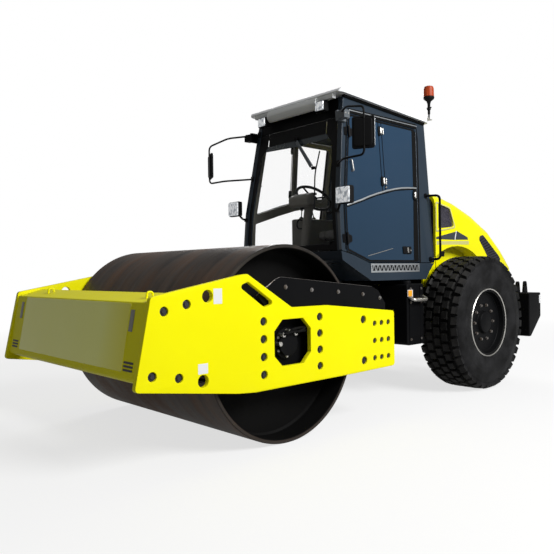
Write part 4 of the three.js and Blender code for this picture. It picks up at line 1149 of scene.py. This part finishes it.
# Mirrors, lamps and rails on the cab. Black tube loops carry the mirror heads; square lamps stand on short
# arms at the front posts, and a grab rail runs down each rear corner.
MIRROR_TURN, MIRROR_MIDDLE = 28, 1.0923
mirror_face = Finish("mirror_glass", roughness=0.04, metallic=1.0)
mirror_face.set("Base Color", mirror_face.blend(mirror_face.noise(9), (0.78, 0.8, 0.82), (0.84, 0.86, 0.88)))
for name, side in SIDES:
    front_low = -1.0555 - 0.1505 * (2.3 - 1.92) / 0.98
    front_high = -1.0555 - 0.1505 * (2.78 - 1.92) / 0.98

    def post_y(z):
        return side * (CAB_HALF - math.tan(CAB_LEAN) * (z - CAB_SILL) - 0.03)

    mirror = Build().pipe([(front_low + 0.012, post_y(2.3), 2.3), (-0.905, side * 0.85, 2.29),
                           (-0.89, side * 1.105, 2.29), (-0.89, side * 1.105, 2.7),
                           (-0.96, side * 0.85, 2.76), (front_high + 0.012, post_y(2.78), 2.78)], 0.0095,
                          bend=0.05)
    for z in (2.3, 2.78):
        x = (front_low if z < 2.5 else front_high) + 0.004
        mirror.block((x - 0.003, post_y(z) - 0.022, z - 0.03), (x + 0.012, post_y(z) + 0.022, z + 0.03))
    head_turn = Matrix.Rotation(math.radians(side * MIRROR_TURN), 3, "Z")

    def on_head(u, v, depth):
        return Vector((-0.895, side * MIRROR_MIDDLE, v)) + head_turn @ Vector((depth, u, 0))

    mirror.plate(oblong(-0.098, 0.098, 2.342, 2.618, 0.02), -0.017, 0.008, edge=0.006, lay=on_head)
    mirror.plate(oblong(-0.08, 0.08, 2.36, 2.6, 0.03), 0.004, 0.018, edge=0.006, lay=on_head)
    mirror.piece(f"mirror_{name}_finished", hard_plastic, "rear_frame", f"mirror_{name}")
    face = Build().plate(oblong(-0.09, 0.09, 2.352, 2.608, 0.015), -0.019, -0.016, edge=0.001, lay=on_head)
    face.piece(f"mirror_face_{name}", mirror_face, "rear_frame")
    outer = side * 0.0985
    rim_strip = Build().pipe([on_head(outer, 2.362, -0.006), on_head(outer, 2.598, -0.006)], 0.0025, sides=8)
    rim_strip.piece(f"mirror_rim_{name}", silver, "rear_frame")

    low, high = between(side, 0.698, 0.877)
    box_lamp = Build().block((-1.026, low, 1.904), (-0.972, high, 2.066), edge=0.018)
    box_lamp.pipe([(-1.036, side * 0.652, 1.862), (-1.02, side * 0.69, 1.87), (-1.0, side * 0.725, 1.915)],
                  0.011, bend=0.02)
    box_lamp.block((-1.046, *between(side, 0.637, 0.67)[:1], 1.842),
                   (-1.022, between(side, 0.637, 0.67)[1], 1.878))
    box_lamp.piece(f"headlamp_case_{name}", hard_plastic, "rear_frame", f"headlamp_{name}")
    glass = Build().block((-0.976, low + 0.01, 1.914), (-0.958, high - 0.01, 2.056), edge=0.01)
    glass.piece(f"headlamp_lens_{name}", lens, "rear_frame")
    rail_x = -2.44

    def wall_y(z):
        return side * (CAB_HALF - math.tan(CAB_LEAN) * (z - CAB_SILL) + 0.002)

    rail = Build().pipe([(rail_x, wall_y(2.09), 2.09), (-2.505, side * 0.8, 2.09), (-2.505, side * 0.8, 1.41),
                         (rail_x, wall_y(1.41), 1.41)], 0.0125, bend=0.045)
    for z in (2.09, 1.41):
        rail.lathe([(0.013, 0), (0.028, 0), (0.028, side * 0.006), (0.013, side * 0.006)],
                   (rail_x, wall_y(z), z), segments=20)
    rail.piece(f"handrail_{name}_finished", black, "rear_frame", f"handrail_{name}")

# Operator's place. A padded seat on a sprung base, a console with levers at its right, and a steering wheel
# on a column with an instrument pod, over a ribbed rubber mat. The pads are foam under stretched cloth.
cloth = Finish("seat_fabric", sheen_weight=0.3)
weave = cloth.node("ShaderNodeTexWave", {"bands_direction": "Y"}, {"Vector": cloth.place(), "Scale": 130.0},
                   "Fac")
weave = weave * cloth.node("ShaderNodeTexWave", {"bands_direction": "Z"},
                           {"Vector": cloth.place(), "Scale": 130.0}, "Fac")
cloth.set("Base Color", cloth.blend(cloth.noise(7, 4), (0.25, 0.248, 0.238), (0.34, 0.335, 0.32)))
cloth.set("Roughness", weave * 0.15 + 0.78)
cloth.bump(weave, 0.0008, 0.7)
PUFF_FRAMES = 20
PUFF_CAP = 0.012


def cushion(name, corners, low, high, *replaced):
    """A pad from its side outline and width: a cloth cover blown up round a slightly smaller core."""
    core = bmesh.new()
    ring = rounded(corners)
    rows = [[core.verts.new((x + DRUM_AXLE, y, z)) for x, z in ring] for y in (low, high)]
    for i in range(len(ring)):
        core.faces.new((rows[0][i - 1], rows[0][i], rows[1][i], rows[1][i - 1]))
    core.faces.new(rows[0])
    core.faces.new(rows[1])
    bmesh.ops.recalc_face_normals(core, faces=core.faces)
    data = bpy.data.meshes.new(name)
    core.to_mesh(data)
    core.free()
    holder = bpy.data.objects.new("holder", data)
    scene.collection.objects.link(holder)
    grid = holder.modifiers.new("grid", "REMESH")
    grid.mode = "VOXEL"
    grid.voxel_size = 0.007
    data = plain_copy(holder)
    holder = bpy.data.objects.new("holder", data)
    scene.collection.objects.link(holder)
    start = [corner.co.copy() for corner in data.vertices]
    cover = holder.modifiers.new("cover", "CLOTH")
    cover.settings.use_pressure = True
    cover.settings.uniform_pressure_force = 4
    cover.settings.effector_weights.gravity = 0
    for moment in range(1, PUFF_FRAMES + 1):
        scene.frame_set(moment)
    data = plain_copy(holder)
    scene.frame_set(1)
    for corner, home in zip(data.vertices, start):
        move = corner.co - home
        corner.co = home + move * min(1, PUFF_CAP / max(move.length, 1e-9))
    holder = bpy.data.objects.new("holder", data)
    scene.collection.objects.link(holder)
    smooth = holder.modifiers.new("smooth", "SUBSURF")
    smooth.levels = smooth.render_levels = 1
    piece = settle(name, shaded(plain_copy(holder), 80), cloth, "rear_frame", "seat_fabric", replaced)


CUSHION_SIDE = [(-1.704, 1.655, 0.025), (-1.712, 1.732, 0.03), (-2.176, 1.712, 0.02), (-2.176, 1.655, 0.01)]
BOLSTER_SIDE = [(-1.72, 1.652, 0.025), (-1.73, 1.738, 0.035), (-2.17, 1.722, 0.03), (-2.17, 1.652, 0.01)]
cushion("seat_cushion_pad", CUSHION_SIDE, -0.142, 0.142, "seat_cushion")
cushion("seat_cushion_bolster_left", BOLSTER_SIDE, 0.158, 0.238)
cushion("seat_cushion_bolster_right", BOLSTER_SIDE, -0.238, -0.158)
BACK_SIDE = [(-2.17, 1.775, 0.03), (-2.262, 2.19, 0.02), (-2.325, 2.18, 0.02), (-2.25, 1.765, 0.02)]
HEAD_SIDE = [(-2.254, 2.215, 0.025), (-2.276, 2.36, 0.03), (-2.335, 2.35, 0.025), (-2.315, 2.205, 0.015)]
cushion("seat_backrest_pad", BACK_SIDE, -0.13, 0.13, "seat_backrest")
cushion("seat_headrest", HEAD_SIDE, -0.13, 0.13)
cushion("seat_back_bolster_left", BACK_SIDE, 0.146, 0.226)
cushion("seat_back_bolster_right", BACK_SIDE, -0.226, -0.146)
shell_back = Build().plate([(-0.205, 1.72, 0.03), (0.205, 1.72, 0.03), (0.19, 2.24, 0.04), (0.14, 2.36, 0.05),
                            (-0.14, 2.36, 0.05), (-0.19, 2.24, 0.04)], -0.008, 0.008, lay=lambda u, v,
                           depth: Vector((-2.262 - (v - 1.76) * 0.155 + depth, u, v)))
shell_back.block((-2.15, -0.17, 1.63), (-1.75, 0.17, 1.655), edge=0.004)
for side in (-1, 1):
    shell_back.pipe([(-2.27, side * 0.275, 1.72), (-2.28, side * 0.275, 1.93), (-2.2, side * 0.275, 1.95)],
                    0.012, bend=0.03)
    shell_back.block((-2.24, side * 0.275 - 0.025, 1.948), (-1.92, side * 0.275 + 0.025, 1.975), edge=0.012)
shell_back.piece("seat_frame", hard_plastic, "rear_frame")
bellows = Build()
folds = []
for fold in range(8):
    folds += [(0.15, 1.43 + fold * 0.025), (0.165, 1.4425 + fold * 0.025)]
fold_shape = [(1, -0.9), (1, 0.9), (0.9, 1), (-0.9, 1), (-1, 0.9), (-1, -0.9), (-0.9, -1), (0.9, -1)]
rings = [[Vector((-1.94 + reach * 0.85 * u, reach * v, z)) for u, v in fold_shape] for reach, z in folds]
bellows.shell(rings)
bellows.block((-2.115, -0.195, 1.3695), (-1.765, 0.195, 1.4), edge=0.004)
bellows.block((-2.07, -0.16, 1.6), (-1.81, 0.16, 1.638), edge=0.004)
bellows.piece("seat_suspension", rubber, "rear_frame", "seat_base", crease=25)

dash_grey = paint("dash_grey", (0.23, 0.225, 0.204), (0.29, 0.284, 0.26), roughness=0.55, coat=0.0, dust=0.05,
                  slot="black_plastic")
dressed("side_console", dash_grey, edge=0.02)
levers = Build()
for x, y, lean in ((-1.66, -0.36, 0.02), (-1.66, -0.44, -0.01), (-1.82, -0.4, 0.03)):
    levers.lathe([(0, 1.875), (0.035, 1.875), (0.03, 1.885), (0.012, 1.91), (0, 1.91)], (x, y, 0), axis="Z",
                 segments=20)
    levers.rod((x, y, 1.9), (x + lean, y, 1.985), 0.006)
    levers.lathe([(0, 1.975), (0.014, 1.978), (0.02, 2.0), (0.018, 2.02), (0.008, 2.03), (0, 2.03)],
                 (x + lean, y, 0), axis="Z", segments=20)
levers.pipe([(-1.562, -0.33, 1.86), (-1.5, -0.33, 1.865), (-1.48, -0.33, 1.8), (-1.5, -0.33, 1.765),
             (-1.562, -0.33, 1.77)], 0.008, bend=0.03)
levers.piece("console_levers", hard_plastic, "rear_frame")
button_grey = Finish("button_grey", roughness=0.4, slot="black_plastic")
button_grey.set("Base Color", button_grey.blend(button_grey.noise(40), (0.28, 0.28, 0.28), (0.4, 0.4, 0.4)))
buttons = Build()
for column in range(3):
    for row in range(2):
        x, y = -2.0 - column * 0.045, -0.37 - row * 0.06
        buttons.block((x - 0.014, y - 0.02, 1.878), (x + 0.014, y + 0.02, 1.887), edge=0.003)
for k in range(4):
    y = -0.09 + 0.06 * k
    buttons.block((-1.345 + 0.002, y - 0.018, 2.075), (-1.318, y + 0.018, 2.1), edge=0.004)
buttons.piece("console_buttons", button_grey, "rear_frame")

POD_SIDE = [(-1.178, 1.955, 0.03), (-1.163, 2.055, 0.04), (-1.285, 2.106, 0.03), (-1.328, 1.965, 0.03)]
column = Build().plate(POD_SIDE, -0.138, 0.138, edge=0.012)
column.pipe([(-1.245, 0, 1.4), (-1.29, 0, 1.7), (-1.338, 0, 1.985)], 0.045, sides=24)
column.lathe([(0, 1.37), (0.13, 1.37), (0.12, 1.4), (0.07, 1.44), (0, 1.44)], (-1.25, 0, 0), axis="Z",
             segments=28)
column.rod((-1.335, 0, 1.97), (-1.398, 0, 2.047), 0.022)
for side in (-1, 1):
    column.pipe([(-1.32, side * 0.03, 1.96), (-1.33, side * 0.1, 1.98), (-1.34, side * 0.17, 1.995)], 0.006)
    column.rod((-1.34, side * 0.165, 1.994), (-1.342, side * 0.2, 1.999), 0.011)
column.piece("steering_column_finished", dash_grey, "rear_frame", "steering_column")
# The screen is painted lighter towards its top: a painted reflection.
display = Finish("dark_display", roughness=0.08, slot="black_plastic")
display.set("Base Color", display.blend(display.axis("Z").over(2.06, 0.05), (0.015, 0.02, 0.025),
                                        (0.05, 0.06, 0.07)))
screen = Build().plate(oblong(-0.1, 0.1, 1.99, 2.075, 0.008), 0.0, 0.004, edge=0.001, lay=lambda u, v,
                       depth: Vector((-1.3275 + (v - 1.965) * 0.305 - depth, u, v)))
screen.piece("instrument_screen", display, "rear_frame")
WHEEL_CENTRE, WHEEL_TILT = Vector((-1.404, 0, 2.056)), -0.6
wheel_turn = Matrix.Rotation(WHEEL_TILT, 4, "Y") @ Matrix.Rotation(math.pi / 2, 4, "Z")
grip = Build()
grip.lathe([(0.19 + 0.0145 * math.cos(t), 0.0145 * math.sin(t))
            for t in (math.pi * k / 6 for k in range(12))], axis="Z", segments=64)
grip.lathe([(0, -0.018), (0.036, -0.018), (0.04, -0.01), (0.04, 0.012), (0.03, 0.019), (0, 0.019)], axis="Z",
           segments=32)
for angle in (0, 180, 270):
    way = Vector((math.cos(math.radians(angle)), math.sin(math.radians(angle)), 0))
    grip.pipe([way * 0.03, way * 0.1 - Vector((0, 0, 0.004)), way * 0.186], 0.009, bend=0.03)
bmesh.ops.transform(grip.mesh, matrix=Matrix.Translation(WHEEL_CENTRE) @ wheel_turn, verts=grip.mesh.verts)
grip.piece("steering_wheel_finished", hard_plastic, "rear_frame", "steering_wheel")
mat = Build().block((-1.72, -0.55, 1.3695), (-1.44, 0.55, 1.376), edge=0.001)
for rib in range(36):
    y = -0.53 + rib * 0.03
    mat.block((-1.71, y, 1.375), (-1.45, y + 0.012, 1.379), edge=0)
mat.piece("floor_mat", rubber, "rear_frame")

# Doors. A slate frame with a middle bar and a pane that covers it to its edges, hung on the front post. The
# panes carry a black printed edge, a curved bright trim, stainless clamps and a lock at the rear.
# The dark, nearly opaque pane is painted shade: it stands for the dim cab seen through the glass from
# outside, and is a little lighter and bluer higher up.
dark_pane = Finish("cab_glass", roughness=0.07, alpha=0.96, specular_ior_level=0.3)
height = dark_pane.axis("Z").over(2.1, 1.4)
haze_cloud = dark_pane.noise(1.6, 3)
pane_low = dark_pane.blend(haze_cloud, (0.0155, 0.037, 0.067), (0.0178, 0.042, 0.076))
pane_high = dark_pane.blend(haze_cloud, (0.016, 0.044, 0.086), (0.019, 0.049, 0.095))
dark_pane.set("Base Color", dark_pane.blend(height, pane_low, pane_high))
inner_dark = paint("door_inner", (0.2, 0.195, 0.168), (0.26, 0.253, 0.222), roughness=0.5, coat=0.0, dust=0.0,
                   slot="cab_paint")
DOOR_RING = [(-1.11, 1.494, 0.01), (-1.19, 1.463, 0.02), (-1.427, 1.381, 0.02), (-2.225, 1.381, 0.03),
             (-2.342, 2.797, 0.04), (-1.264, 2.797, 0.03), (-1.125, 1.92, 0.06)]
for name, side in SIDES:
    lay, body = on_cab(side), f"{name}_door"
    dressed(f"door_{name}", inner_dark, edge=0.004)
    # The left door takes the dark pane as painted shade; the right door takes clear glass.
    dressed(f"door_glass_{name}", dark_pane if side > 0 else clear, edge=0.0015, slot="cab_glass")
    printed = Build()
    printed.plate(DOOR_RING, 0.0002, 0.0009, [inset(DOOR_RING, 0.02)], edge=0, lay=lay)
    printed.plate(stroke([(-2.311, 2.78), (-2.255, 2.1), (-2.215, 1.75), (-2.175, 1.4)], 0.068), 0.0009,
                  0.0014, edge=0, lay=lay)
    for u in (-1.703, -1.752):
        printed.plate(stroke([(u - 0.004, 2.785), (u, 2.09)], 0.007), 0.0002, 0.003, edge=0, lay=lay)
    printed.piece(f"door_printed_edge_{name}", rubber, body)
    trim = Build().plate(stroke([(-1.15, 1.914), (-1.26, 1.947), (-1.375, 1.981), (-1.48, 2.018),
                                 (-1.595, 2.051), (-1.75, 2.092), (-1.911, 2.126), (-2.02, 2.143),
                                 (-2.137, 2.154), (-2.278, 2.163)], 0.017), 0.0, 0.011, edge=0.004, lay=lay)
    trim.piece(f"door_trim_{name}", silver, body)
    under = Build().plate(stroke([(-1.15, 1.899), (-1.375, 1.966), (-1.595, 2.036), (-1.911, 2.111),
                                  (-2.137, 2.139), (-2.278, 2.148)], 0.01), 0.0, 0.006, edge=0.001, lay=lay)
    under.piece(f"door_trim_shadow_{name}", rubber, body)
    clamps, pads = Build(), Build()
    for u, v in ((-1.738, 2.695), (-1.73, 2.187)):
        pads.plate([(u + 0.045, v - 0.05, 0.02), (u + 0.045, v + 0.042, 0.02), (u + 0.01, v + 0.05, 0.015),
                    (u + 0.01, v - 0.055, 0.015)], 0.0, 0.016, edge=0.004, lay=lay)
        clamps.plate([(u + 0.025, v - 0.03, 0.01), (u + 0.025, v + 0.035, 0.01), (u - 0.002, v + 0.035, 0.01),
                      (u - 0.002, v - 0.04, 0.01)], 0.012, 0.026, edge=0.005, lay=lay)
        clamps.plate(oblong(u - 0.018, u - 0.034, v - 0.035, v + 0.035, 0.01), 0.0, 0.02, edge=0.004, lay=lay)
    for u, v in ((-1.763, 2.131), (-1.784, 2.1)):
        clamps.rod(lay(u, v, 0.0), lay(u, v, 0.009), 0.009)
    clamps.pipe([lay(-1.241, 2.348, 0.0), lay(-1.241, 2.348, 0.022), lay(-1.258, 2.245, 0.022),
                 lay(-1.258, 2.245, 0.0)], 0.008, bend=0.015)
    clamps.piece(f"door_clamps_{name}", plated, body)
    pads.piece(f"door_clamp_pads_{name}", hard_plastic, body)
    lock = Build().plate([(-2.2, 2.03, 0.03), (-2.275, 2.03, 0.03), (-2.283, 2.135, 0.03),
                          (-2.208, 2.135, 0.03)], 0.0, 0.014, edge=0.003, lay=lay)
    lock.plate(oblong(-1.96, -2.1, 1.465, 1.54, 0.012), -0.001, 0.012, edge=0.003, lay=lay)
    for v in (1.6, 2.62):
        u = -1.108 if v < 1.92 else -1.124 - (v - 1.92) * 0.158
        lock.rod(lay(u - 0.008, v - 0.055, 0.012), lay(u - 0.008, v + 0.055, 0.012), 0.012)
        lock.plate([(u - 0.008, v - 0.045, 0.01), (u - 0.075, v - 0.03, 0.02), (u - 0.075, v + 0.03, 0.02),
                    (u - 0.008, v + 0.045, 0.01)], 0.0, 0.009, edge=0.002, lay=lay)
    lock.piece(f"door_lock_{name}", hard_plastic, body)
    handle = Build().plate([(-2.224, 2.05, 0.018), (-2.256, 2.05, 0.018), (-2.262, 2.122, 0.018),
                            (-2.23, 2.122, 0.018)], 0.012, 0.022, edge=0.005, lay=lay)
    handle.plate(oblong(-2.03, -2.05, 1.475, 1.53, 0.004), 0.01, 0.015, edge=0.001, lay=lay)
    handle.rod(lay(-2.08, 1.5, 0.01), lay(-2.08, 1.5, 0.018), 0.008)
    handle.plate(stroke([(-1.402, 1.439), (-1.802, 1.517)], 0.005), 0.0, 0.0015, edge=0, lay=lay)
    handle.piece(f"door_handle_{name}", plated, body)
    leaves = Build()
    for v in (1.6, 2.62):
        u = -1.098 if v < 1.92 else -1.114 - (v - 1.92) * 0.158
        leaves.plate([(u + 0.006, v - 0.04, 0.004), (u + 0.006, v + 0.04, 0.004), (u + 0.045, v + 0.04, 0.01),
                      (u + 0.045, v - 0.04, 0.01)], 0.0002, 0.007, edge=0.002, lay=lay)
    leaves.piece(f"door_hinge_leaves_{name}", black, "rear_frame")

# Hood. One moulded and reinforced shell over the engine that tips back on a hinge at the tail, yellow, with a
# woven wire grille and a slanted air slot on each side, and dark and white stripes below the grille.
hood_yellow = paint("hood_yellow", (0.93, 0.88, 0.0), (0.9, 0.84, 0.0), roughness=0.3, coat=0.25, dust=0.03)
dressed("hood", hood_yellow, edge=0.006, crease=40)
HOOD_HALVES = [(-2.535, 0.72), (-3.32, 0.72), (-3.71, 0.715), (-4.0, 0.705), (-4.26, 0.68), (-4.345, 0.64)]


def on_hood(side):
    """Lays u along X and v up a side of the hood, with depth out of it."""
    def lay(u, v, depth):
        for (front, near), (rear, far) in zip(HOOD_HALVES, HOOD_HALVES[1:]):
            if u >= rear:
                return Vector((u, side * (near + (far - near) * (front - u) / (front - rear) + depth), v))
        return Vector((u, side * (HOOD_HALVES[-1][1] + depth), v))
    return lay


weaving = Growth("weaving", thickness=0.0016)
strand = weaving.node("GeometryNodeMeshToCurve", {}, {"Mesh": weaving.given["Geometry"]})
section = weaving.node("GeometryNodeCurvePrimitiveCircle", {},
                       {"Resolution": 5, "Radius": weaving.given["thickness"]})
weaving.end(weaving.node("GeometryNodeCurveToMesh", {}, {"Curve": strand, "Profile Curve": section,
                                                         "Fill Caps": True}))
AIR_SLOT = [(-3.415, 1.68, 0.04), (-3.545, 1.7, 0.04), (-4.04, 1.39, 0.06), (-3.89, 1.335, 0.06),
            (-3.73, 1.36, 0.06)]
GRILLE = [(-2.558, 1.72, 0.02), (-2.558, 2.02, 0.02), (-2.82, 1.972, 0.05), (-2.915, 1.772, 0.02)]
MESH_STEP = 0.0145


def lattice(ring, pitch):
    """Straight lines both ways over a convex outline, cut off at its edges."""
    ends = []
    for lean in (1, -1):
        way, across_way = Vector((1, lean)).normalized(), Vector((-lean, 1)).normalized()
        reaches = [point.dot(across_way) for point in ring]
        at = min(reaches) + pitch / 2
        while at < max(reaches):
            hits = []
            for a, b in zip(ring, ring[1:] + ring[:1]):
                high, low = a.dot(across_way) - at, b.dot(across_way) - at
                if (high > 0) != (low > 0):
                    hits.append(a + (b - a) * high / (high - low))
            hits.sort(key=lambda point: point.dot(way))
            ends += hits[:2]
            at += pitch
    return ends


wire = paint("grille_wire", (0.1, 0.095, 0.125), (0.14, 0.13, 0.165), roughness=0.45, coat=0.1, dust=0.0,
             slot="frame_black")
# A near-black finish for painted shade: it stands for the dark engine bay behind the grilles and air slots.
painted_shade_black = Finish("grille_backing", roughness=0.85, slot="frame_black")
painted_shade_black.set("Base Color", painted_shade_black.blend(painted_shade_black.noise(9), (0.01, 0.009, 0.014), (0.024, 0.022, 0.032)))
decal_dark = paint("stripe_dark", (0.035, 0.045, 0.055), (0.045, 0.055, 0.065), roughness=0.3, coat=0.4,
                   dust=0.0, slot="frame_black")
decal_pale = paint("stripe_pale", (0.6, 0.58, 0.2), (0.56, 0.54, 0.2), roughness=0.3, coat=0.4, dust=0.0,
                   slot="hood_yellow")
for name, side in SIDES:
    lay = on_hood(side)
    ring = rounded(GRILLE)
    ends = lattice(ring, MESH_STEP)
    seeds = [lay(*point, -0.008 - 0.0012 * (i // 2 % 2)) for i, point in enumerate(ends)]
    data = weaving.run(seeds, [(0, side, 0)] * len(seeds), wire,
                       lines=[(i, i + 1) for i in range(0, len(ends), 2)])
    settle(f"grille_mesh_{name}", data, None, "engine_hood", "frame_black")
    # A black plate behind the grille mesh: painted shade for the engine bay.
    backing = Build().plate(inset(GRILLE, -0.03), -0.06, -0.052, edge=0, lay=lay)
    backing.piece(f"grille_backing_{name}", painted_shade_black, "engine_hood")
    frame_ring = Build().plate(inset(GRILLE, -0.014), 0.0002, 0.006, [inset(GRILLE, 0.002)], edge=0.0015,
                               lay=lay)
    frame_ring.piece(f"grille_frame_{name}", decal_pale, "engine_hood")
    dark = Build().plate([(-2.55, 1.628), (-2.55, 1.65), (-2.945, 1.722), (-2.915, 1.628)], 0.0002, 0.0008,
                         edge=0, lay=lay)
    dark.plate([(-2.935, 1.63), (-2.965, 1.73), (-3.19, 1.665), (-3.2, 1.638)], 0.0002, 0.0008, edge=0,
               lay=lay)
    dark.piece(f"wedge_stripe_{name}", decal_dark, "engine_hood")
    light = Build().plate([(-2.917, 1.629), (-2.942, 1.726), (-2.963, 1.731), (-2.933, 1.63)], 0.0002, 0.0008,
                          edge=0, lay=lay)
    light.piece(f"stripe_divider_{name}", white_paint, "engine_hood")
    pale = Build().plate([(-2.56, 1.568), (-2.56, 1.605), (-3.22, 1.623), (-3.22, 1.583)], 0.0002, 0.0008,
                         edge=0, lay=lay)
    pale.piece(f"band_stripe_{name}", decal_pale, "engine_hood")
    # The air slot is a dark plate on the hood side under its louvres: painted shade for the opening.
    slot = Build().plate(AIR_SLOT, -0.002, 0.003, edge=0.001, lay=lay)
    slot.piece(f"side_air_slot_{name}", painted_shade_black, "engine_hood")
    louvres = Build()
    for step in range(11):
        share = (step + 1) / 12
        upper = Vector((-3.545, 1.7)).lerp(Vector((-4.03, 1.395)), share)
        lower = Vector((-3.43, 1.655)).lerp(Vector((-3.77, 1.355)), share)
        middle = (upper + lower) / 2
        louvres.plate(stroke([middle.lerp(lower, 0.8), middle.lerp(upper, 0.8)], 0.007), 0.002, 0.007,
                      edge=0.001, lay=lay)
    louvres.piece(f"air_slot_louvres_{name}", hard_plastic, "engine_hood")
    latch = Build().plate(oblong(-2.62, -2.7, 1.44, 1.5, 0.012), 0.0, 0.008, edge=0.002, lay=lay)
    latch.piece(f"hood_latch_{name}", hard_plastic, "engine_hood")
    edge_seal = Build().plate(stroke([(-2.5375, 1.12), (-2.5375, 1.98)], 0.004), -0.004, 0.001, edge=0,
                              lay=lay)
    edge_seal.piece(f"hood_edge_seal_{name}", rubber, "engine_hood")
TAIL_TOP, TAIL_LOW = Vector((-4.0, 0, 1.585)), Vector((-4.26, 0, 1.395))
tail_down = (TAIL_LOW - TAIL_TOP).normalized()
tail_out = Vector((tail_down.z, 0, -tail_down.x)) * -1


def on_tail(u, v, depth):
    """Lays u along Y and v down the hood's sloping tail, with depth out of it."""
    return TAIL_TOP + tail_down * v + tail_out * depth + Vector((0, u, 0))


# A dark panel behind the tail slats: painted shade for the opening.
tail_panel = Build().plate(oblong(-0.46, 0.46, 0.02, 0.3, 0.02), -0.002, 0.003, edge=0.001, lay=on_tail)
tail_panel.piece("tail_air_panel", painted_shade_black, "engine_hood")
slats = Build()
for row in range(9):
    low, high = 0.04 + row * 0.03, 0.05 + row * 0.03
    slats.plate(oblong(-0.44, 0.44, low, high), 0.002, 0.009, edge=0.001, lay=on_tail)
slats.piece("tail_air_slats", hard_plastic, "engine_hood")
